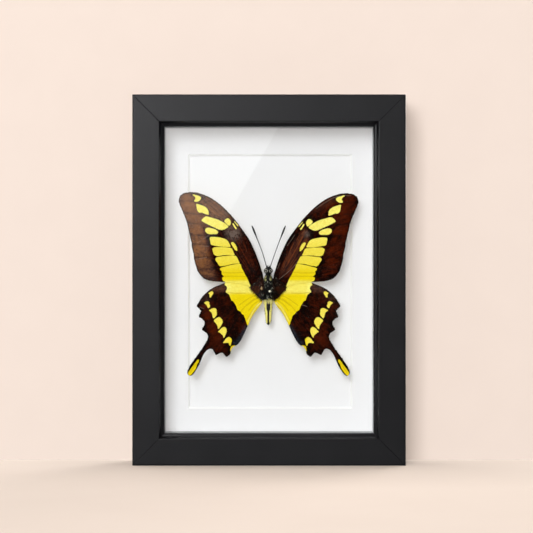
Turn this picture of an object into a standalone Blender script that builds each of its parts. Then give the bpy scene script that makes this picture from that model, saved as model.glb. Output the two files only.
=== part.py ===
"""Framed butterfly specimen: a swallowtail pinned in a black shadow-box frame.

Metres, +Z up. The glass faces -Y. The origin is the middle of the footprint, on the
surface that the frame stands on. The frame is built from the outside in: mitred rails,
glass, spacers, mat, mounting board, backing board with its tabs and hanger, and then
the specimen on its pin.
"""

import math

import bmesh
import bpy
from mathutils import Euler, Vector

MM = 0.001
GAP = 0.3 * MM  # clearance between touching pieces

# Frame, driving sizes
FRAME_WIDTH = 140 * MM
FRAME_HEIGHT = 190 * MM
FRAME_DEPTH = 32 * MM
FRONT = -FRAME_DEPTH / 2
REAR = FRAME_DEPTH / 2
INSERT_WIDTH = 130 * MM
INSERT_HEIGHT = 180 * MM
CENTRE_HEIGHT = FRAME_HEIGHT / 2

# Rail section, measured inward from the outer edge and back from the front
SIDE_WALL = (FRAME_WIDTH - INSERT_WIDTH) / 2 - GAP
FACE_WIDTH = 13.9 * MM
RAIL_WIDTH = 16.4 * MM
RISER_WIDTH = 0.7 * MM
LEDGE_DROP = 2.7 * MM
LIP_DEPTH = 6 * MM
EDGE_RADIUS = 0.8 * MM
LIP_RADIUS = 1.3 * MM
ARC_STEPS = 5
ROUND_STEPS = 20

# Sizes of the waste that cutters take away, clear of the pieces they cut
WASTE_SIDE = 80 * MM
CUTTER_DEPTH = 8 * MM

# Layers behind the lip, from the front to the rear
GLASS_THICKNESS = 2 * MM
SPACER_DEPTH = 13.4 * MM
SPACER_WIDTH = 11 * MM
MAT_THICKNESS = 1.1 * MM
BOARD_THICKNESS = 3 * MM
BACKING_THICKNESS = 2.5 * MM
GLASS_FRONT = FRONT + LIP_DEPTH + GAP
SPACER_FRONT = GLASS_FRONT + GLASS_THICKNESS + GAP
MAT_FRONT = SPACER_FRONT + SPACER_DEPTH + GAP
BOARD_FRONT = MAT_FRONT + MAT_THICKNESS + GAP
BACKING_FRONT = BOARD_FRONT + BOARD_THICKNESS + GAP
BACKING_REAR = BACKING_FRONT + BACKING_THICKNESS
WINDOW_WIDTH = 85.9 * MM
WINDOW_HEIGHT = 133 * MM
WINDOW_X = 0.6 * MM
WINDOW_Z = CENTRE_HEIGHT - 0.9 * MM

# Tabs that hold the backing board, hanger and rivets
TAB_WIDTH = 8 * MM
TAB_LENGTH = 11 * MM
TAB_THICKNESS = 0.5 * MM
TAB_BITE = 2.4 * MM
HANGER_LENGTH = 44 * MM
HANGER_HEIGHT = 9 * MM
HANGER_THICKNESS = 0.7 * MM
HANGER_ARCH = 0.9 * MM
HANGER_FOOT = 3 * MM
HANGER_DROP = 17 * MM
TOOTH_PITCH = 2.4 * MM
TOOTH_COUNT = 9
TOOTH_HEIGHT = 1.7 * MM
RIVET_SPACING = 36 * MM
RIVET_RADIUS = 1 * MM
RIVET_HEAD_RADIUS = 1.9 * MM
RIVET_HEAD_HEIGHT = 0.7 * MM

# Specimen
SPECIMEN_X = -0.35 * MM
BODY_Y = 0.9 * MM
BODY_FLATTEN = 1.06
FOREWING_Y = -0.95 * MM
HINDWING_Y = -0.35 * MM
WING_THICKNESS = 0.25 * MM
RIGHT_FOREWING_HEIGHT = 0.987
ANTENNA_RADIUS = 0.18 * MM
CLUB_RADIUS = 0.42 * MM
PIN_RADIUS = 0.25 * MM
PIN_HEAD_RADIUS = 0.6 * MM
PIN_TIP_Y = BOARD_FRONT + 2.2 * MM
PIN_HEAD_Y = -5 * MM
PIN_PLACE = (SPECIMEN_X + 0.7 * MM, CENTRE_HEIGHT - 5.9 * MM)

# Wing outlines in mm from the specimen's midline (outward, upward); the midpoint of the
# frame is height 0. They run from the wing root round the leading edge to the tip.
FOREWING = [
    (2.8, -5.7), (2.7, 1.6), (5.3, 10.4), (10.2, 21.3), (14.2, 27), (22.5, 36.8),
    (27.7, 41.1), (32.9, 43.8), (37.1, 45.1), (40.7, 45.3), (43.9, 44.8), (45.8, 43),
    (46.3, 40.7), (45.7, 38.4), (43.4, 33.3), (41.9, 29), (40.7, 23.3), (39.6, 17.4),
    (38.4, 10.6), (36.9, 5.5), (35.1, 2.4), (32.7, 0.3), (28.8, -0.7), (23.1, -1.2),
    (15.8, -1.9), (9.6, -3.6),
]
HINDWING = [
    (2.9, -4.4), (6.5, -1.8), (13.2, -0.5), (19.9, -0.8), (24.8, -2.5), (28.6, -4.1),
    (31.9, -6.4), (34.5, -9.2), (36.5, -12.3), (37, -13.6), (35.9, -14.9), (34.9, -16.2),
    (35.9, -18.3), (35.9, -19.3), (34.5, -20.1), (33, -21.9), (33.4, -23.9),
    (34.4, -25.6), (33.9, -26.3), (31.8, -27.8), (31.3, -30.1), (33.1, -33.7),
    (36, -37.9), (39.3, -42.5), (41.6, -46.6), (41.8, -48.6), (40.7, -49.6),
    (38.8, -48.7), (36, -44.3), (34.1, -39.9), (32.7, -37.5), (30.5, -35.7),
    (28.6, -36.4), (27.4, -38.6), (26.6, -38.9), (24.9, -37.9), (23.6, -37.9),
    (22.3, -39.3), (21.4, -39.8), (19.8, -38.4), (19.4, -36.5), (17.9, -34.4),
    (16, -33.6), (13.6, -30.2), (10.4, -23.2), (7.6, -17.8), (3.6, -12.4), (2.8, -9),
]
# Body half-width down the specimen, in mm: (half-width, height)
BODY_PROFILE = [
    (0, 6.8), (1.1, 6.5), (2.1, 5.8), (2.4, 4.7), (2.1, 3.6), (1.5, 2.6), (1.7, 1.6),
    (2.2, 0.2), (2.35, -2.2), (2.35, -5), (2.2, -7.4), (1.7, -9.4), (1.9, -10.4),
    (2.15, -12), (2.05, -14.5), (1.8, -17), (1.6, -20), (1.2, -22.4), (0.6, -23.2),
    (0, -23.5),
]
# Antenna route in mm: (outward, upward, forward of the body's middle)
ANTENNA = [(1, 7.1, 0.4), (3.4, 14.8, 1.2), (6, 21.7, 1.8), (8.6, 27.6, 2.1)]

parts = bpy.data.collections.new("framed_butterfly")
cutters = bpy.data.collections.new("cutters")


def clear_scene():
    for old in list(bpy.data.objects):
        bpy.data.objects.remove(old, do_unlink=True)
    for collection in (parts, cutters):
        bpy.context.scene.collection.children.link(collection)
    cutters.hide_render = True


def material(name, colour, roughness, metallic=0.0):
    made = bpy.data.materials.new(name)
    made.use_nodes = True
    shader = made.node_tree.nodes["Principled BSDF"]
    shader.inputs["Base Color"].default_value = (*colour, 1)
    shader.inputs["Roughness"].default_value = roughness
    shader.inputs["Metallic"].default_value = metallic
    return made


def add(name, data, finish, collection=parts):
    made = bpy.data.objects.new(name, data)
    collection.objects.link(made)
    if finish:
        data.materials.append(finish)
    return made


def as_cutter(obj):
    obj.hide_render = True
    obj.display_type = "WIRE"
    return obj


def box(name, low, high, finish=None, collection=parts):
    """A box between two opposite corners."""
    low, high = Vector(low), Vector(high)
    shape = bmesh.new()
    bmesh.ops.create_cube(shape, size=1)
    bmesh.ops.scale(shape, vec=high - low, verts=shape.verts)
    mesh = bpy.data.meshes.new(name)
    shape.to_mesh(mesh)
    shape.free()
    made = add(name, mesh, finish, collection)
    made.location = (low + high) / 2
    return made


def cut(target, cutter):
    change = target.modifiers.new("cut_" + cutter.name, "BOOLEAN")
    change.operation = "DIFFERENCE"
    change.object = as_cutter(cutter)


def rod_cutter(name, radius, x, z, front, rear):
    """A round cutter along Y."""
    shape = bmesh.new()
    bmesh.ops.create_cone(
        shape, cap_ends=True, segments=ROUND_STEPS, radius1=radius, radius2=radius, depth=rear - front
    )
    mesh = bpy.data.meshes.new(name)
    shape.to_mesh(mesh)
    shape.free()
    made = add(name, mesh, None, cutters)
    made.rotation_euler = (math.pi / 2, 0, 0)
    made.location = (x, (front + rear) / 2, z)
    return made


def turned(name, profile, finish, steps=ROUND_STEPS):
    """A solid turned round local Z from (radius, height) points, top to bottom."""
    mesh = bpy.data.meshes.new(name)
    edges = [(i, i + 1) for i in range(len(profile) - 1)]
    mesh.from_pydata([(r, 0, h) for r, h in profile], edges, [])
    made = add(name, mesh, finish)
    turn = made.modifiers.new("turn", "SCREW")
    turn.steps = steps
    turn.render_steps = steps
    turn.use_merge_vertices = True
    turn.merge_threshold = 0.00001
    turn.use_smooth_shade = True
    return made


def flat_outline(name, splines, thickness, smooth=False):
    """A flat plate in local XY, as a filled 2D curve. Later splines are its holes."""
    curve = bpy.data.curves.new(name, "CURVE")
    curve.dimensions = "2D"
    curve.fill_mode = "BOTH"
    curve.extrude = thickness / 2
    curve.resolution_u = 4
    for points in splines:
        if smooth:
            spline = curve.splines.new("BEZIER")
            spline.bezier_points.add(len(points) - 1)
            for knot, point in zip(spline.bezier_points, points):
                knot.co = (*point, 0)
                knot.handle_left_type = "AUTO"
                knot.handle_right_type = "AUTO"
        else:
            spline = curve.splines.new("POLY")
            spline.points.add(len(points) - 1)
            for knot, point in zip(spline.points, points):
                knot.co = (*point, 0, 1)
        spline.use_cyclic_u = True
    return curve


def as_mesh(name, curve):
    """The curve as a closed mesh that modifiers can cut."""
    drawn = bpy.data.objects.new(name + "_curve", curve)
    cutters.objects.link(drawn)
    bpy.context.view_layer.update()
    graph = bpy.context.evaluated_depsgraph_get()
    mesh = bpy.data.meshes.new_from_object(drawn.evaluated_get(graph))
    bpy.data.objects.remove(drawn, do_unlink=True)
    shape = bmesh.new()
    shape.from_mesh(mesh)
    bmesh.ops.remove_doubles(shape, verts=shape.verts, dist=0.000001)
    bmesh.ops.recalc_face_normals(shape, faces=shape.faces)
    shape.to_mesh(mesh)
    shape.free()
    mesh.name = name
    return mesh


def arc(centre, radius, start, end, steps=ARC_STEPS):
    """Points on an arc, angles in degrees."""
    found = []
    for step in range(steps + 1):
        angle = math.radians(start + (end - start) * step / steps)
        found.append((centre[0] + radius * math.cos(angle), centre[1] + radius * math.sin(angle)))
    return found


def rail_section():
    """The rail's section: (distance inward from the outer edge, depth)."""
    ledge = FRONT + LEDGE_DROP
    foot = FACE_WIDTH + RISER_WIDTH
    return (
        arc((EDGE_RADIUS, FRONT + EDGE_RADIUS), EDGE_RADIUS, 180, 270)
        + [(FACE_WIDTH - GAP, FRONT), (FACE_WIDTH, FRONT + GAP), (foot, ledge)]
        + arc((RAIL_WIDTH - LIP_RADIUS, ledge + LIP_RADIUS), LIP_RADIUS, 270, 360)
        + [
            (RAIL_WIDTH, FRONT + LIP_DEPTH),
            (SIDE_WALL, FRONT + LIP_DEPTH),
            (SIDE_WALL, REAR),
            (GAP, REAR),
            (0, REAR - GAP),
        ]
    )


def mitre_cutter(name, length, end):
    """The waste beyond the 45 degree cut at one end (+1 or -1) of a rail, in the rail's own axes."""
    half = WASTE_SIDE / 2
    made = box(name, (-half, -half, -half), (half, half, half), None, cutters)
    made.rotation_euler = (0, -end * math.pi / 4, 0)
    reach = length / 2 - GAP / math.sqrt(2)
    made.location = Vector((end * reach, 0, 0)) + Vector((end, 0, 1)).normalized() * half
    return made


def make_rails(finish):
    """Four mitred lengths of one section, turned about Y into place."""
    places = {
        "rail_bottom": (FRAME_WIDTH, 0, (0, 0, 0)),
        "rail_left": (FRAME_HEIGHT, 90, (-FRAME_WIDTH / 2, 0, CENTRE_HEIGHT)),
        "rail_top": (FRAME_WIDTH, 180, (0, 0, FRAME_HEIGHT)),
        "rail_right": (FRAME_HEIGHT, 270, (FRAME_WIDTH / 2, 0, CENTRE_HEIGHT)),
    }
    rails = {}
    for name, (length, turn, place) in places.items():
        mesh = as_mesh(name, flat_outline(name, [rail_section()], length))
        mesh.transform(Euler((0, -math.pi / 2, 0)).to_matrix().to_4x4())
        rail = add(name, mesh, finish)
        rail.rotation_euler = (0, math.radians(turn), 0)
        rail.location = place
        for end, side in ((1, "a"), (-1, "b")):
            cutter = mitre_cutter(f"mitre_{name}_{side}", length, end)
            cutter.parent = rail
            cut(rail, cutter)
        rails[name] = rail
    return rails


def make_layers(finishes):
    """Glass, spacers, mat, mounting board and backing board, from the front to the rear."""
    half_width = INSERT_WIDTH / 2
    low, high = CENTRE_HEIGHT - INSERT_HEIGHT / 2, CENTRE_HEIGHT + INSERT_HEIGHT / 2

    def sheet(name, front, thickness, finish):
        return box(
            name, (-half_width, front, low), (half_width, front + thickness, high), finish
        )

    sheet("glass", GLASS_FRONT, GLASS_THICKNESS, finishes["glass"])

    rear = SPACER_FRONT + SPACER_DEPTH
    inner = half_width - SPACER_WIDTH
    for name, sign in (("spacer_left", -1), ("spacer_right", 1)):
        ends = sorted((sign * inner, sign * half_width))
        box(name, (ends[0], SPACER_FRONT, low), (ends[1], rear, high), finishes["foam"])
    for name, bottom in (("spacer_bottom", low), ("spacer_top", high - SPACER_WIDTH)):
        box(
            name,
            (-inner + GAP, SPACER_FRONT, bottom),
            (inner - GAP, rear, bottom + SPACER_WIDTH),
            finishes["foam"],
        )

    mat = sheet("mat", MAT_FRONT, MAT_THICKNESS, finishes["mat"])
    cut(mat, window_cutter())

    board = sheet("mounting_board", BOARD_FRONT, BOARD_THICKNESS, finishes["foam"])
    pin_hole = rod_cutter(
        "pin_hole", PIN_RADIUS + GAP, *PIN_PLACE, BOARD_FRONT - MM, PIN_TIP_Y + GAP
    )
    cut(board, pin_hole)

    backing = sheet("backing_board", BACKING_FRONT, BACKING_THICKNESS, finishes["hardboard"])
    for index, x in enumerate(rivet_places()):
        hole = rod_cutter(
            f"rivet_hole_{index}", RIVET_RADIUS + GAP, x, hanger_height(),
            BACKING_FRONT - MM, BACKING_REAR + MM,
        )
        cut(backing, hole)


def window_cutter():
    """The window's waste: its sides slope inward at 45 degrees towards the rear."""
    spare = MM
    front, rear = MAT_FRONT - spare, MAT_FRONT + MAT_THICKNESS + spare
    shape = bmesh.new()
    bmesh.ops.create_cube(shape, size=1)
    for corner in shape.verts:
        behind = corner.co.y > 0
        slope = -(MAT_THICKNESS + spare) if behind else spare
        corner.co.x = math.copysign(WINDOW_WIDTH / 2 + slope, corner.co.x)
        corner.co.z = math.copysign(WINDOW_HEIGHT / 2 + slope, corner.co.z)
        corner.co.y = rear if behind else front
    mesh = bpy.data.meshes.new("window_cutter")
    shape.to_mesh(mesh)
    shape.free()
    made = add("window_cutter", mesh, None, cutters)
    made.location = (WINDOW_X, 0, WINDOW_Z)
    return made


def make_tabs(rails, finish):
    """Six flat steel tabs, each pushed into a slot in a rail behind the backing board."""
    lift = BACKING_REAR + GAP + TAB_THICKNESS / 2
    quarter = FRAME_HEIGHT / 4
    slots = {
        "tab_left_low": ("rail_left", quarter),
        "tab_left_high": ("rail_left", -quarter),
        "tab_right_low": ("rail_right", -quarter),
        "tab_right_high": ("rail_right", quarter),
        "tab_bottom": ("rail_bottom", 0),
        "tab_top": ("rail_top", 0),
    }
    start = SIDE_WALL - TAB_BITE
    half = TAB_WIDTH / 2
    tip = start + TAB_LENGTH - half
    outline = [(start, -half), *arc((tip, 0), half, -90, 90, 8), (start, half)]
    for name, (rail_name, along) in slots.items():
        rail = rails[rail_name]
        mesh = as_mesh(name, flat_outline(name, [outline], TAB_THICKNESS))
        mesh.transform(Euler((math.pi / 2, 0, 0)).to_matrix().to_4x4())
        mesh.transform(Euler((0, -math.pi / 2, 0)).to_matrix().to_4x4())
        tab = add(name, mesh, finish)
        tab.parent = rail
        tab.location = (along, lift, 0)
        slot = box(
            name + "_slot",
            (along - half - GAP, lift - TAB_THICKNESS / 2 - GAP, start - GAP),
            (along + half + GAP, lift + TAB_THICKNESS / 2 + GAP, SIDE_WALL + MM),
            None,
            cutters,
        )
        slot.parent = rail
        cut(rail, slot)


def hanger_height():
    return CENTRE_HEIGHT + INSERT_HEIGHT / 2 - HANGER_DROP


def rivet_places():
    return (-RIVET_SPACING / 2, RIVET_SPACING / 2)


def make_hanger(finish):
    """A sawtooth strip, flat at its riveted ends and arched clear of the board between them."""
    end = HANGER_LENGTH / 2
    foot = RIVET_SPACING / 2 - HANGER_FOOT
    bend = HANGER_ARCH
    top = HANGER_ARCH + HANGER_THICKNESS
    section = [
        (-end, 0), (-foot, 0), (bend - foot, HANGER_ARCH), (foot - bend, HANGER_ARCH),
        (foot, 0), (end, 0), (end, HANGER_THICKNESS), (foot + GAP, HANGER_THICKNESS),
        (foot - bend + GAP, top), (bend - foot - GAP, top),
        (-foot - GAP, HANGER_THICKNESS), (-end, HANGER_THICKNESS),
    ]
    hanger = add("hanger", as_mesh("hanger", flat_outline("hanger", [section], HANGER_HEIGHT)), finish)
    hanger.location = (0, BACKING_REAR + GAP, hanger_height())

    low = -HANGER_HEIGHT / 2 - GAP
    start = -TOOTH_COUNT * TOOTH_PITCH / 2
    teeth = []
    for index in range(TOOTH_COUNT):
        left = start + index * TOOTH_PITCH
        teeth += [(left, low), (left + TOOTH_PITCH / 2, low + TOOTH_HEIGHT)]
    outline = [(start, low - MM), *teeth, (-start, low), (-start, low - MM)]
    saw = as_mesh("teeth_cutter", flat_outline("teeth_cutter", [outline], CUTTER_DEPTH))
    saw.transform(Euler((math.pi / 2, 0, 0)).to_matrix().to_4x4())
    cutter = add("teeth_cutter", saw, None, cutters)
    cutter.location = hanger.location
    cut(hanger, cutter)

    for index, x in enumerate(rivet_places()):
        hole = rod_cutter(
            f"hanger_hole_{index}", RIVET_RADIUS + GAP, x, hanger_height(),
            BACKING_REAR - MM, REAR + MM,
        )
        cut(hanger, hole)


def make_rivets(finish):
    """A domed head on a shank through the backing board; heights run from the dome to the end."""
    seat = BACKING_REAR + 2 * GAP + HANGER_THICKNESS
    reach = seat - BACKING_FRONT - GAP
    dome = [
        (RIVET_HEAD_RADIUS * math.sin(math.radians(a)), RIVET_HEAD_HEIGHT * math.cos(math.radians(a)))
        for a in range(0, 91, 15)
    ]
    profile = dome + [(RIVET_RADIUS, 0), (RIVET_RADIUS, -reach), (0, -reach)]
    for name, x in zip(("rivet_left", "rivet_right"), rivet_places()):
        rivet = turned(name, profile, finish, 24)
        rivet.rotation_euler = (-math.pi / 2, 0, 0)
        rivet.location = (x, seat, hanger_height())


def make_pin(finish):
    """A round head and a shaft with a point, along Y through the thorax into the board."""
    length = PIN_TIP_Y - PIN_HEAD_Y
    start = math.degrees(math.asin(PIN_RADIUS / PIN_HEAD_RADIUS))
    ball = arc((0, 0), PIN_HEAD_RADIUS, 90, start - 90, 8)
    ball[0] = (0, PIN_HEAD_RADIUS)
    profile = ball + [(PIN_RADIUS, -length + MM), (0, -length)]
    pin = turned("insect_pin", profile, finish, 16)
    pin.rotation_euler = (math.pi / 2, 0, 0)
    pin.location = (PIN_PLACE[0], PIN_HEAD_Y, PIN_PLACE[1])


def make_body(finish):
    """Head, thorax and abdomen as one turned form, a little deeper than it is wide."""
    body = turned("butterfly_body", [(r * MM, h * MM) for r, h in BODY_PROFILE], finish, 24)
    body.scale = (1, BODY_FLATTEN, 1)
    body.location = (SPECIMEN_X, BODY_Y, CENTRE_HEIGHT)
    channel = rod_cutter(
        "pin_channel", PIN_RADIUS + GAP, *PIN_PLACE, BODY_Y - CUTTER_DEPTH, BODY_Y + CUTTER_DEPTH
    )
    cut(body, channel)


def make_wings(finish):
    """Four flat wings; the forewings lie over the hindwings' leading edges."""
    pairs = (("forewing", FOREWING, FOREWING_Y), ("hindwing", HINDWING, HINDWING_Y))
    for kind, outline, depth in pairs:
        for side, sign in (("left", -1), ("right", 1)):
            name = f"{kind}_{side}"
            rise = RIGHT_FOREWING_HEIGHT if name == "forewing_right" else 1
            points = [(sign * u * MM, v * rise * MM) for u, v in outline]
            curve = flat_outline(name, [points], WING_THICKNESS, smooth=True)
            wing = add(name, curve, finish)
            wing.rotation_euler = (math.pi / 2, 0, 0)
            wing.location = (SPECIMEN_X, depth, CENTRE_HEIGHT)


def make_antennae(finish):
    """Thin feelers that thicken to a club at the tip."""
    for side, sign in (("left", -1), ("right", 1)):
        name = f"antenna_{side}"
        curve = bpy.data.curves.new(name, "CURVE")
        curve.dimensions = "3D"
        curve.bevel_depth = ANTENNA_RADIUS
        curve.bevel_resolution = 1
        curve.resolution_u = 5
        curve.use_fill_caps = True
        spline = curve.splines.new("BEZIER")
        spline.bezier_points.add(len(ANTENNA) - 1)
        for knot, (out, up, ahead) in zip(spline.bezier_points, ANTENNA):
            knot.co = (sign * out * MM, -ahead * MM, up * MM)
            knot.handle_left_type = "AUTO"
            knot.handle_right_type = "AUTO"
        spline.bezier_points[-1].radius = CLUB_RADIUS / ANTENNA_RADIUS
        feeler = add(name, curve, finish)
        feeler.location = (SPECIMEN_X, BODY_Y, CENTRE_HEIGHT)


def build():
    clear_scene()
    black_paint = material("black_painted_wood", (0.035, 0.035, 0.038), 0.38)
    steel = material("zinc_plated_steel", (0.55, 0.55, 0.54), 0.35, 1.0)
    layers = {
        "glass": material("float_glass", (0.92, 0.96, 0.94), 0.02),
        "foam": material("white_foam_board", (0.86, 0.86, 0.85), 0.8),
        "mat": material("white_mat_board", (0.88, 0.88, 0.87), 0.85),
        "hardboard": material("brown_hardboard", (0.23, 0.13, 0.07), 0.7),
    }
    rails = make_rails(black_paint)
    make_layers(layers)
    make_tabs(rails, steel)
    make_hanger(steel)
    make_rivets(steel)
    make_pin(material("pin_steel", (0.62, 0.62, 0.6), 0.25, 1.0))
    chitin = material("dark_chitin", (0.02, 0.016, 0.014), 0.6)
    make_body(chitin)
    make_antennae(chitin)
    make_wings(material("wing_scales", (0.07, 0.04, 0.03), 0.7))


build()
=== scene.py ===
import math
import random
from functools import partial

import bmesh
import bpy
import numpy as np
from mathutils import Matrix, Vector
from mathutils.geometry import delaunay_2d_cdt


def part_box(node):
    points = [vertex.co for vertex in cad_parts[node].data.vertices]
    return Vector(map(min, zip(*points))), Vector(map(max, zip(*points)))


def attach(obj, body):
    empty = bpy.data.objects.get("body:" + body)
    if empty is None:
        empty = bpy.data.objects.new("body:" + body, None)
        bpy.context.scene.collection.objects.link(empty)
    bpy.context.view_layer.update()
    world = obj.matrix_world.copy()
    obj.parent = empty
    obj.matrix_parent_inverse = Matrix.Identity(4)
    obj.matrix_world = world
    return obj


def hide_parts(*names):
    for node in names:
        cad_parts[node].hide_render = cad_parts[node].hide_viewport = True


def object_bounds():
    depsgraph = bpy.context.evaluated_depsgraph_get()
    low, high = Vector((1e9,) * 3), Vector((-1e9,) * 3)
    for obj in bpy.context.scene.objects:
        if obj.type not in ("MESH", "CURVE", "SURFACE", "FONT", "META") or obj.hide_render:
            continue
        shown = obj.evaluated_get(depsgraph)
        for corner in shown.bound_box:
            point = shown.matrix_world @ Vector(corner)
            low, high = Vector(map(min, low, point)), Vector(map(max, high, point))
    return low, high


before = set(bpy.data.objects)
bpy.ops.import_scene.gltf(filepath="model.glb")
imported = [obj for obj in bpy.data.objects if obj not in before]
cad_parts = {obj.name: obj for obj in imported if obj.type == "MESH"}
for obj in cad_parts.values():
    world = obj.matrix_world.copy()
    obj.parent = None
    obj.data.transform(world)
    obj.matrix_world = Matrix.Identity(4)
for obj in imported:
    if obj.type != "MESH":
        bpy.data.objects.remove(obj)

cad_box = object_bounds()

# ----------------------------------------------------------
# The view: square on to the glass, from a little above and left of the frame's middle.
# ----------------------------------------------------------
MM = 0.001
frame_low, frame_high = Vector(cad_box[0]), Vector(cad_box[1])
frame_middle = (frame_low + frame_high) / 2
FIELD_WIDTH = 272.6 * MM
VIEW_DISTANCE = 1100 * MM
VIEW_OFFSET = Vector((-1.3 * MM, 0, 6.9 * MM))

camera = bpy.data.objects.new("camera", bpy.data.cameras.new("camera"))
bpy.context.scene.collection.objects.link(camera)
camera.data.angle = 2 * math.atan(FIELD_WIDTH / 2 / VIEW_DISTANCE)
camera.data.clip_start = 10 * MM
camera.location = Vector((frame_middle.x, frame_low.y - VIEW_DISTANCE, frame_middle.z)) + VIEW_OFFSET
camera.rotation_euler = (math.pi / 2, 0, 0)
bpy.context.scene.camera = camera
bpy.context.scene.view_settings.view_transform = "Standard"

# ----------------------------------------------------------
# The frame: four lengths of flat pine moulding, mitred, glued and pinned, then sprayed
# with satin black lacquer. The lacquer drowns most of the grain and rounds each arris.
# ----------------------------------------------------------
rail_low, rail_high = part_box("rail_left")
glass_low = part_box("glass")[0]
RAIL_WIDTH = rail_high.x - rail_low.x
GLASS_PLAY = 0.3 * MM
SIDE_WALL = glass_low.x - frame_low.x - GLASS_PLAY
FACE_WIDTH = 13.9 * MM
RISER_WIDTH = 0.7 * MM
LEDGE_DROP = 2.7 * MM
LIP_DEPTH = 6 * MM
ARRIS = 0.8 * MM
COVE = 0.45 * MM
LIP_RADIUS = 1.3 * MM
FACE_ARRIS = REBATE_ARRIS = 0.3 * MM
LIP_ARRIS = 0.2 * MM
REAR_ARRIS = 0.4 * MM
# Points this far inside each rounded edge keep the flat faces evenly shaded.
KEEP_FLAT = 0.25 * MM
# Each end stops a little short of the mitre, and its edge is eased into a fine groove.
MITRE_GROOVE = 0.12 * MM
MITRE_PLAY = 0.01 * MM
MITRE_EASE = 0.2 * MM
SHARP_ABOVE = math.radians(32)


def hex_colour(code):
    """A linear colour from an sRGB hex code."""
    parts = [int(code[i : i + 2], 16) / 255 for i in (1, 3, 5)]
    linear = [c / 12.92 if c <= 0.04045 else ((c + 0.055) / 1.055) ** 2.4 for c in parts]
    return (*linear, 1)


def wire(node, sockets):
    """Sets sockets, each to a value, a hex colour, an output or a node's first output in use.

    On a mix of colours, socket 0 is the share of the second one, and 6 and 7 are the two.
    """
    for socket, value in sockets.items():
        if isinstance(value, bpy.types.Node):
            value = next(output for output in value.outputs if output.enabled)
        if isinstance(value, bpy.types.NodeSocket):
            node.id_data.links.new(value, node.inputs[socket])
        else:
            plain = hex_colour(value) if isinstance(value, str) else value
            node.inputs[socket].default_value = plain


def add_node(tree, kind, sockets=None, **settings):
    """Adds a shader node with its settings, and wires its sockets."""
    made = tree.nodes.new("ShaderNode" + kind)
    for name, value in settings.items():
        setattr(made, name, value)
    wire(made, sockets or {})
    return made


def new_material(name, **values):
    """A node material, its shader with values set, its node adder and its coordinates."""
    made = bpy.data.materials.new(name)
    made.use_nodes = True
    shader = made.node_tree.nodes["Principled BSDF"]
    wire(shader, {socket.replace("_", " "): value for socket, value in values.items()})
    add = partial(add_node, made.node_tree)
    return made, shader, add, add("TexCoord").outputs["Object"]


def dress(piece, finish):
    """Gives a piece or a CAD node one material."""
    piece.data.materials.clear()
    piece.data.materials.append(finish)


def keep(piece, slot, *replaced):
    """The piece belongs to the object's one body, and may stand for CAD nodes."""
    bpy.context.scene.collection.objects.link(piece)
    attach(piece, "root")
    if replaced:
        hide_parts(*replaced)


# Satin nitrocellulose lacquer on pine: near black, soft highlights, and long shallow grain
# lines. Pine's early and late wood alternate at about 1.2 mm.
lacquer, shader, add, place = new_material(
    "satin_black_lacquer_on_pine", IOR=1.5, Specular_IOR_Level=0.3
)
along_grain = add("Mapping", {0: place, 3: (1 / 0.045, 1 / 0.0012, 1 / 0.0012)})
grain = add("TexNoise", {"Vector": along_grain, "Scale": 1, "Detail": 4})
orange_peel = add("TexNoise", {"Vector": place, "Scale": 1 / 0.0009, "Detail": 2})
handling = add("TexNoise", {"Vector": place, "Scale": 1 / 0.02, "Detail": 3})
tint = add("Mix", {0: handling, 6: "#0F0F11", 7: "#151517"}, data_type="RGBA")
polish = add("MapRange", {"Value": handling, "To Min": 0.33, "To Max": 0.41})
relief = add("Math", {0: grain, 1: orange_peel}, operation="ADD")
skin = add("Bump", {"Height": relief, "Strength": 0.25, "Distance": 0.03 * MM})
wire(shader, {"Base Color": tint, "Roughness": polish, "Normal": skin})


def arc(centre, radius, start, end, steps=6):
    """Points on an arc, angles in degrees."""
    turns = [math.radians(start + (end - start) * i / steps) for i in range(steps + 1)]
    return [(centre[0] + radius * math.cos(t), centre[1] + radius * math.sin(t)) for t in turns]


def rail_section():
    """The moulding's section: (distance inward from the outer edge, depth)."""
    front, rear = frame_low.y, frame_high.y
    ledge = front + LEDGE_DROP
    foot = FACE_WIDTH + RISER_WIDTH
    face_end, rebate_end = FACE_WIDTH - FACE_ARRIS, SIDE_WALL - REBATE_ARRIS
    lip_foot = front + LIP_DEPTH - LIP_ARRIS
    rounded = [
        arc((ARRIS, front + ARRIS), ARRIS, 180, 270),
        [(ARRIS + KEEP_FLAT, front), (face_end - KEEP_FLAT, front)],
        arc((face_end, front + FACE_ARRIS), FACE_ARRIS, 270, 345, 3),
        arc((foot + COVE, ledge - COVE), COVE, 165, 100, 4),
        arc((RAIL_WIDTH - LIP_RADIUS, ledge + LIP_RADIUS), LIP_RADIUS, 298, 360, 8),
        arc((RAIL_WIDTH - LIP_ARRIS, lip_foot), LIP_ARRIS, 0, 90, 2),
        [(SIDE_WALL, front + LIP_DEPTH)],
        arc((rebate_end, rear - REBATE_ARRIS), REBATE_ARRIS, 0, 90, 2),
        [(rebate_end - KEEP_FLAT, rear), (REAR_ARRIS + KEEP_FLAT, rear)],
        arc((REAR_ARRIS, rear - REAR_ARRIS), REAR_ARRIS, 90, 180, 3),
        [(0, rear - REAR_ARRIS - KEEP_FLAT), (0, front + ARRIS + KEEP_FLAT)],
    ]
    return [point for stretch in rounded for point in stretch]


def shrunk(section, inset):
    """The section with each point moved inward, for the eased edge at a mitre."""
    moved = []
    for i, (u, y) in enumerate(section):
        (au, ay), (bu, by) = section[i - 1], section[(i + 1) % len(section)]
        along = Vector((bu - au, by - ay)).normalized()
        moved.append((u - along.y * inset, y + along.x * inset))
    return moved


def smooth_mesh(name, shape):
    """A smooth mesh from an edit mesh, which is freed."""
    mesh = bpy.data.meshes.new(name)
    shape.to_mesh(mesh)
    shape.free()
    mesh.shade_smooth()
    return mesh


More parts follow.
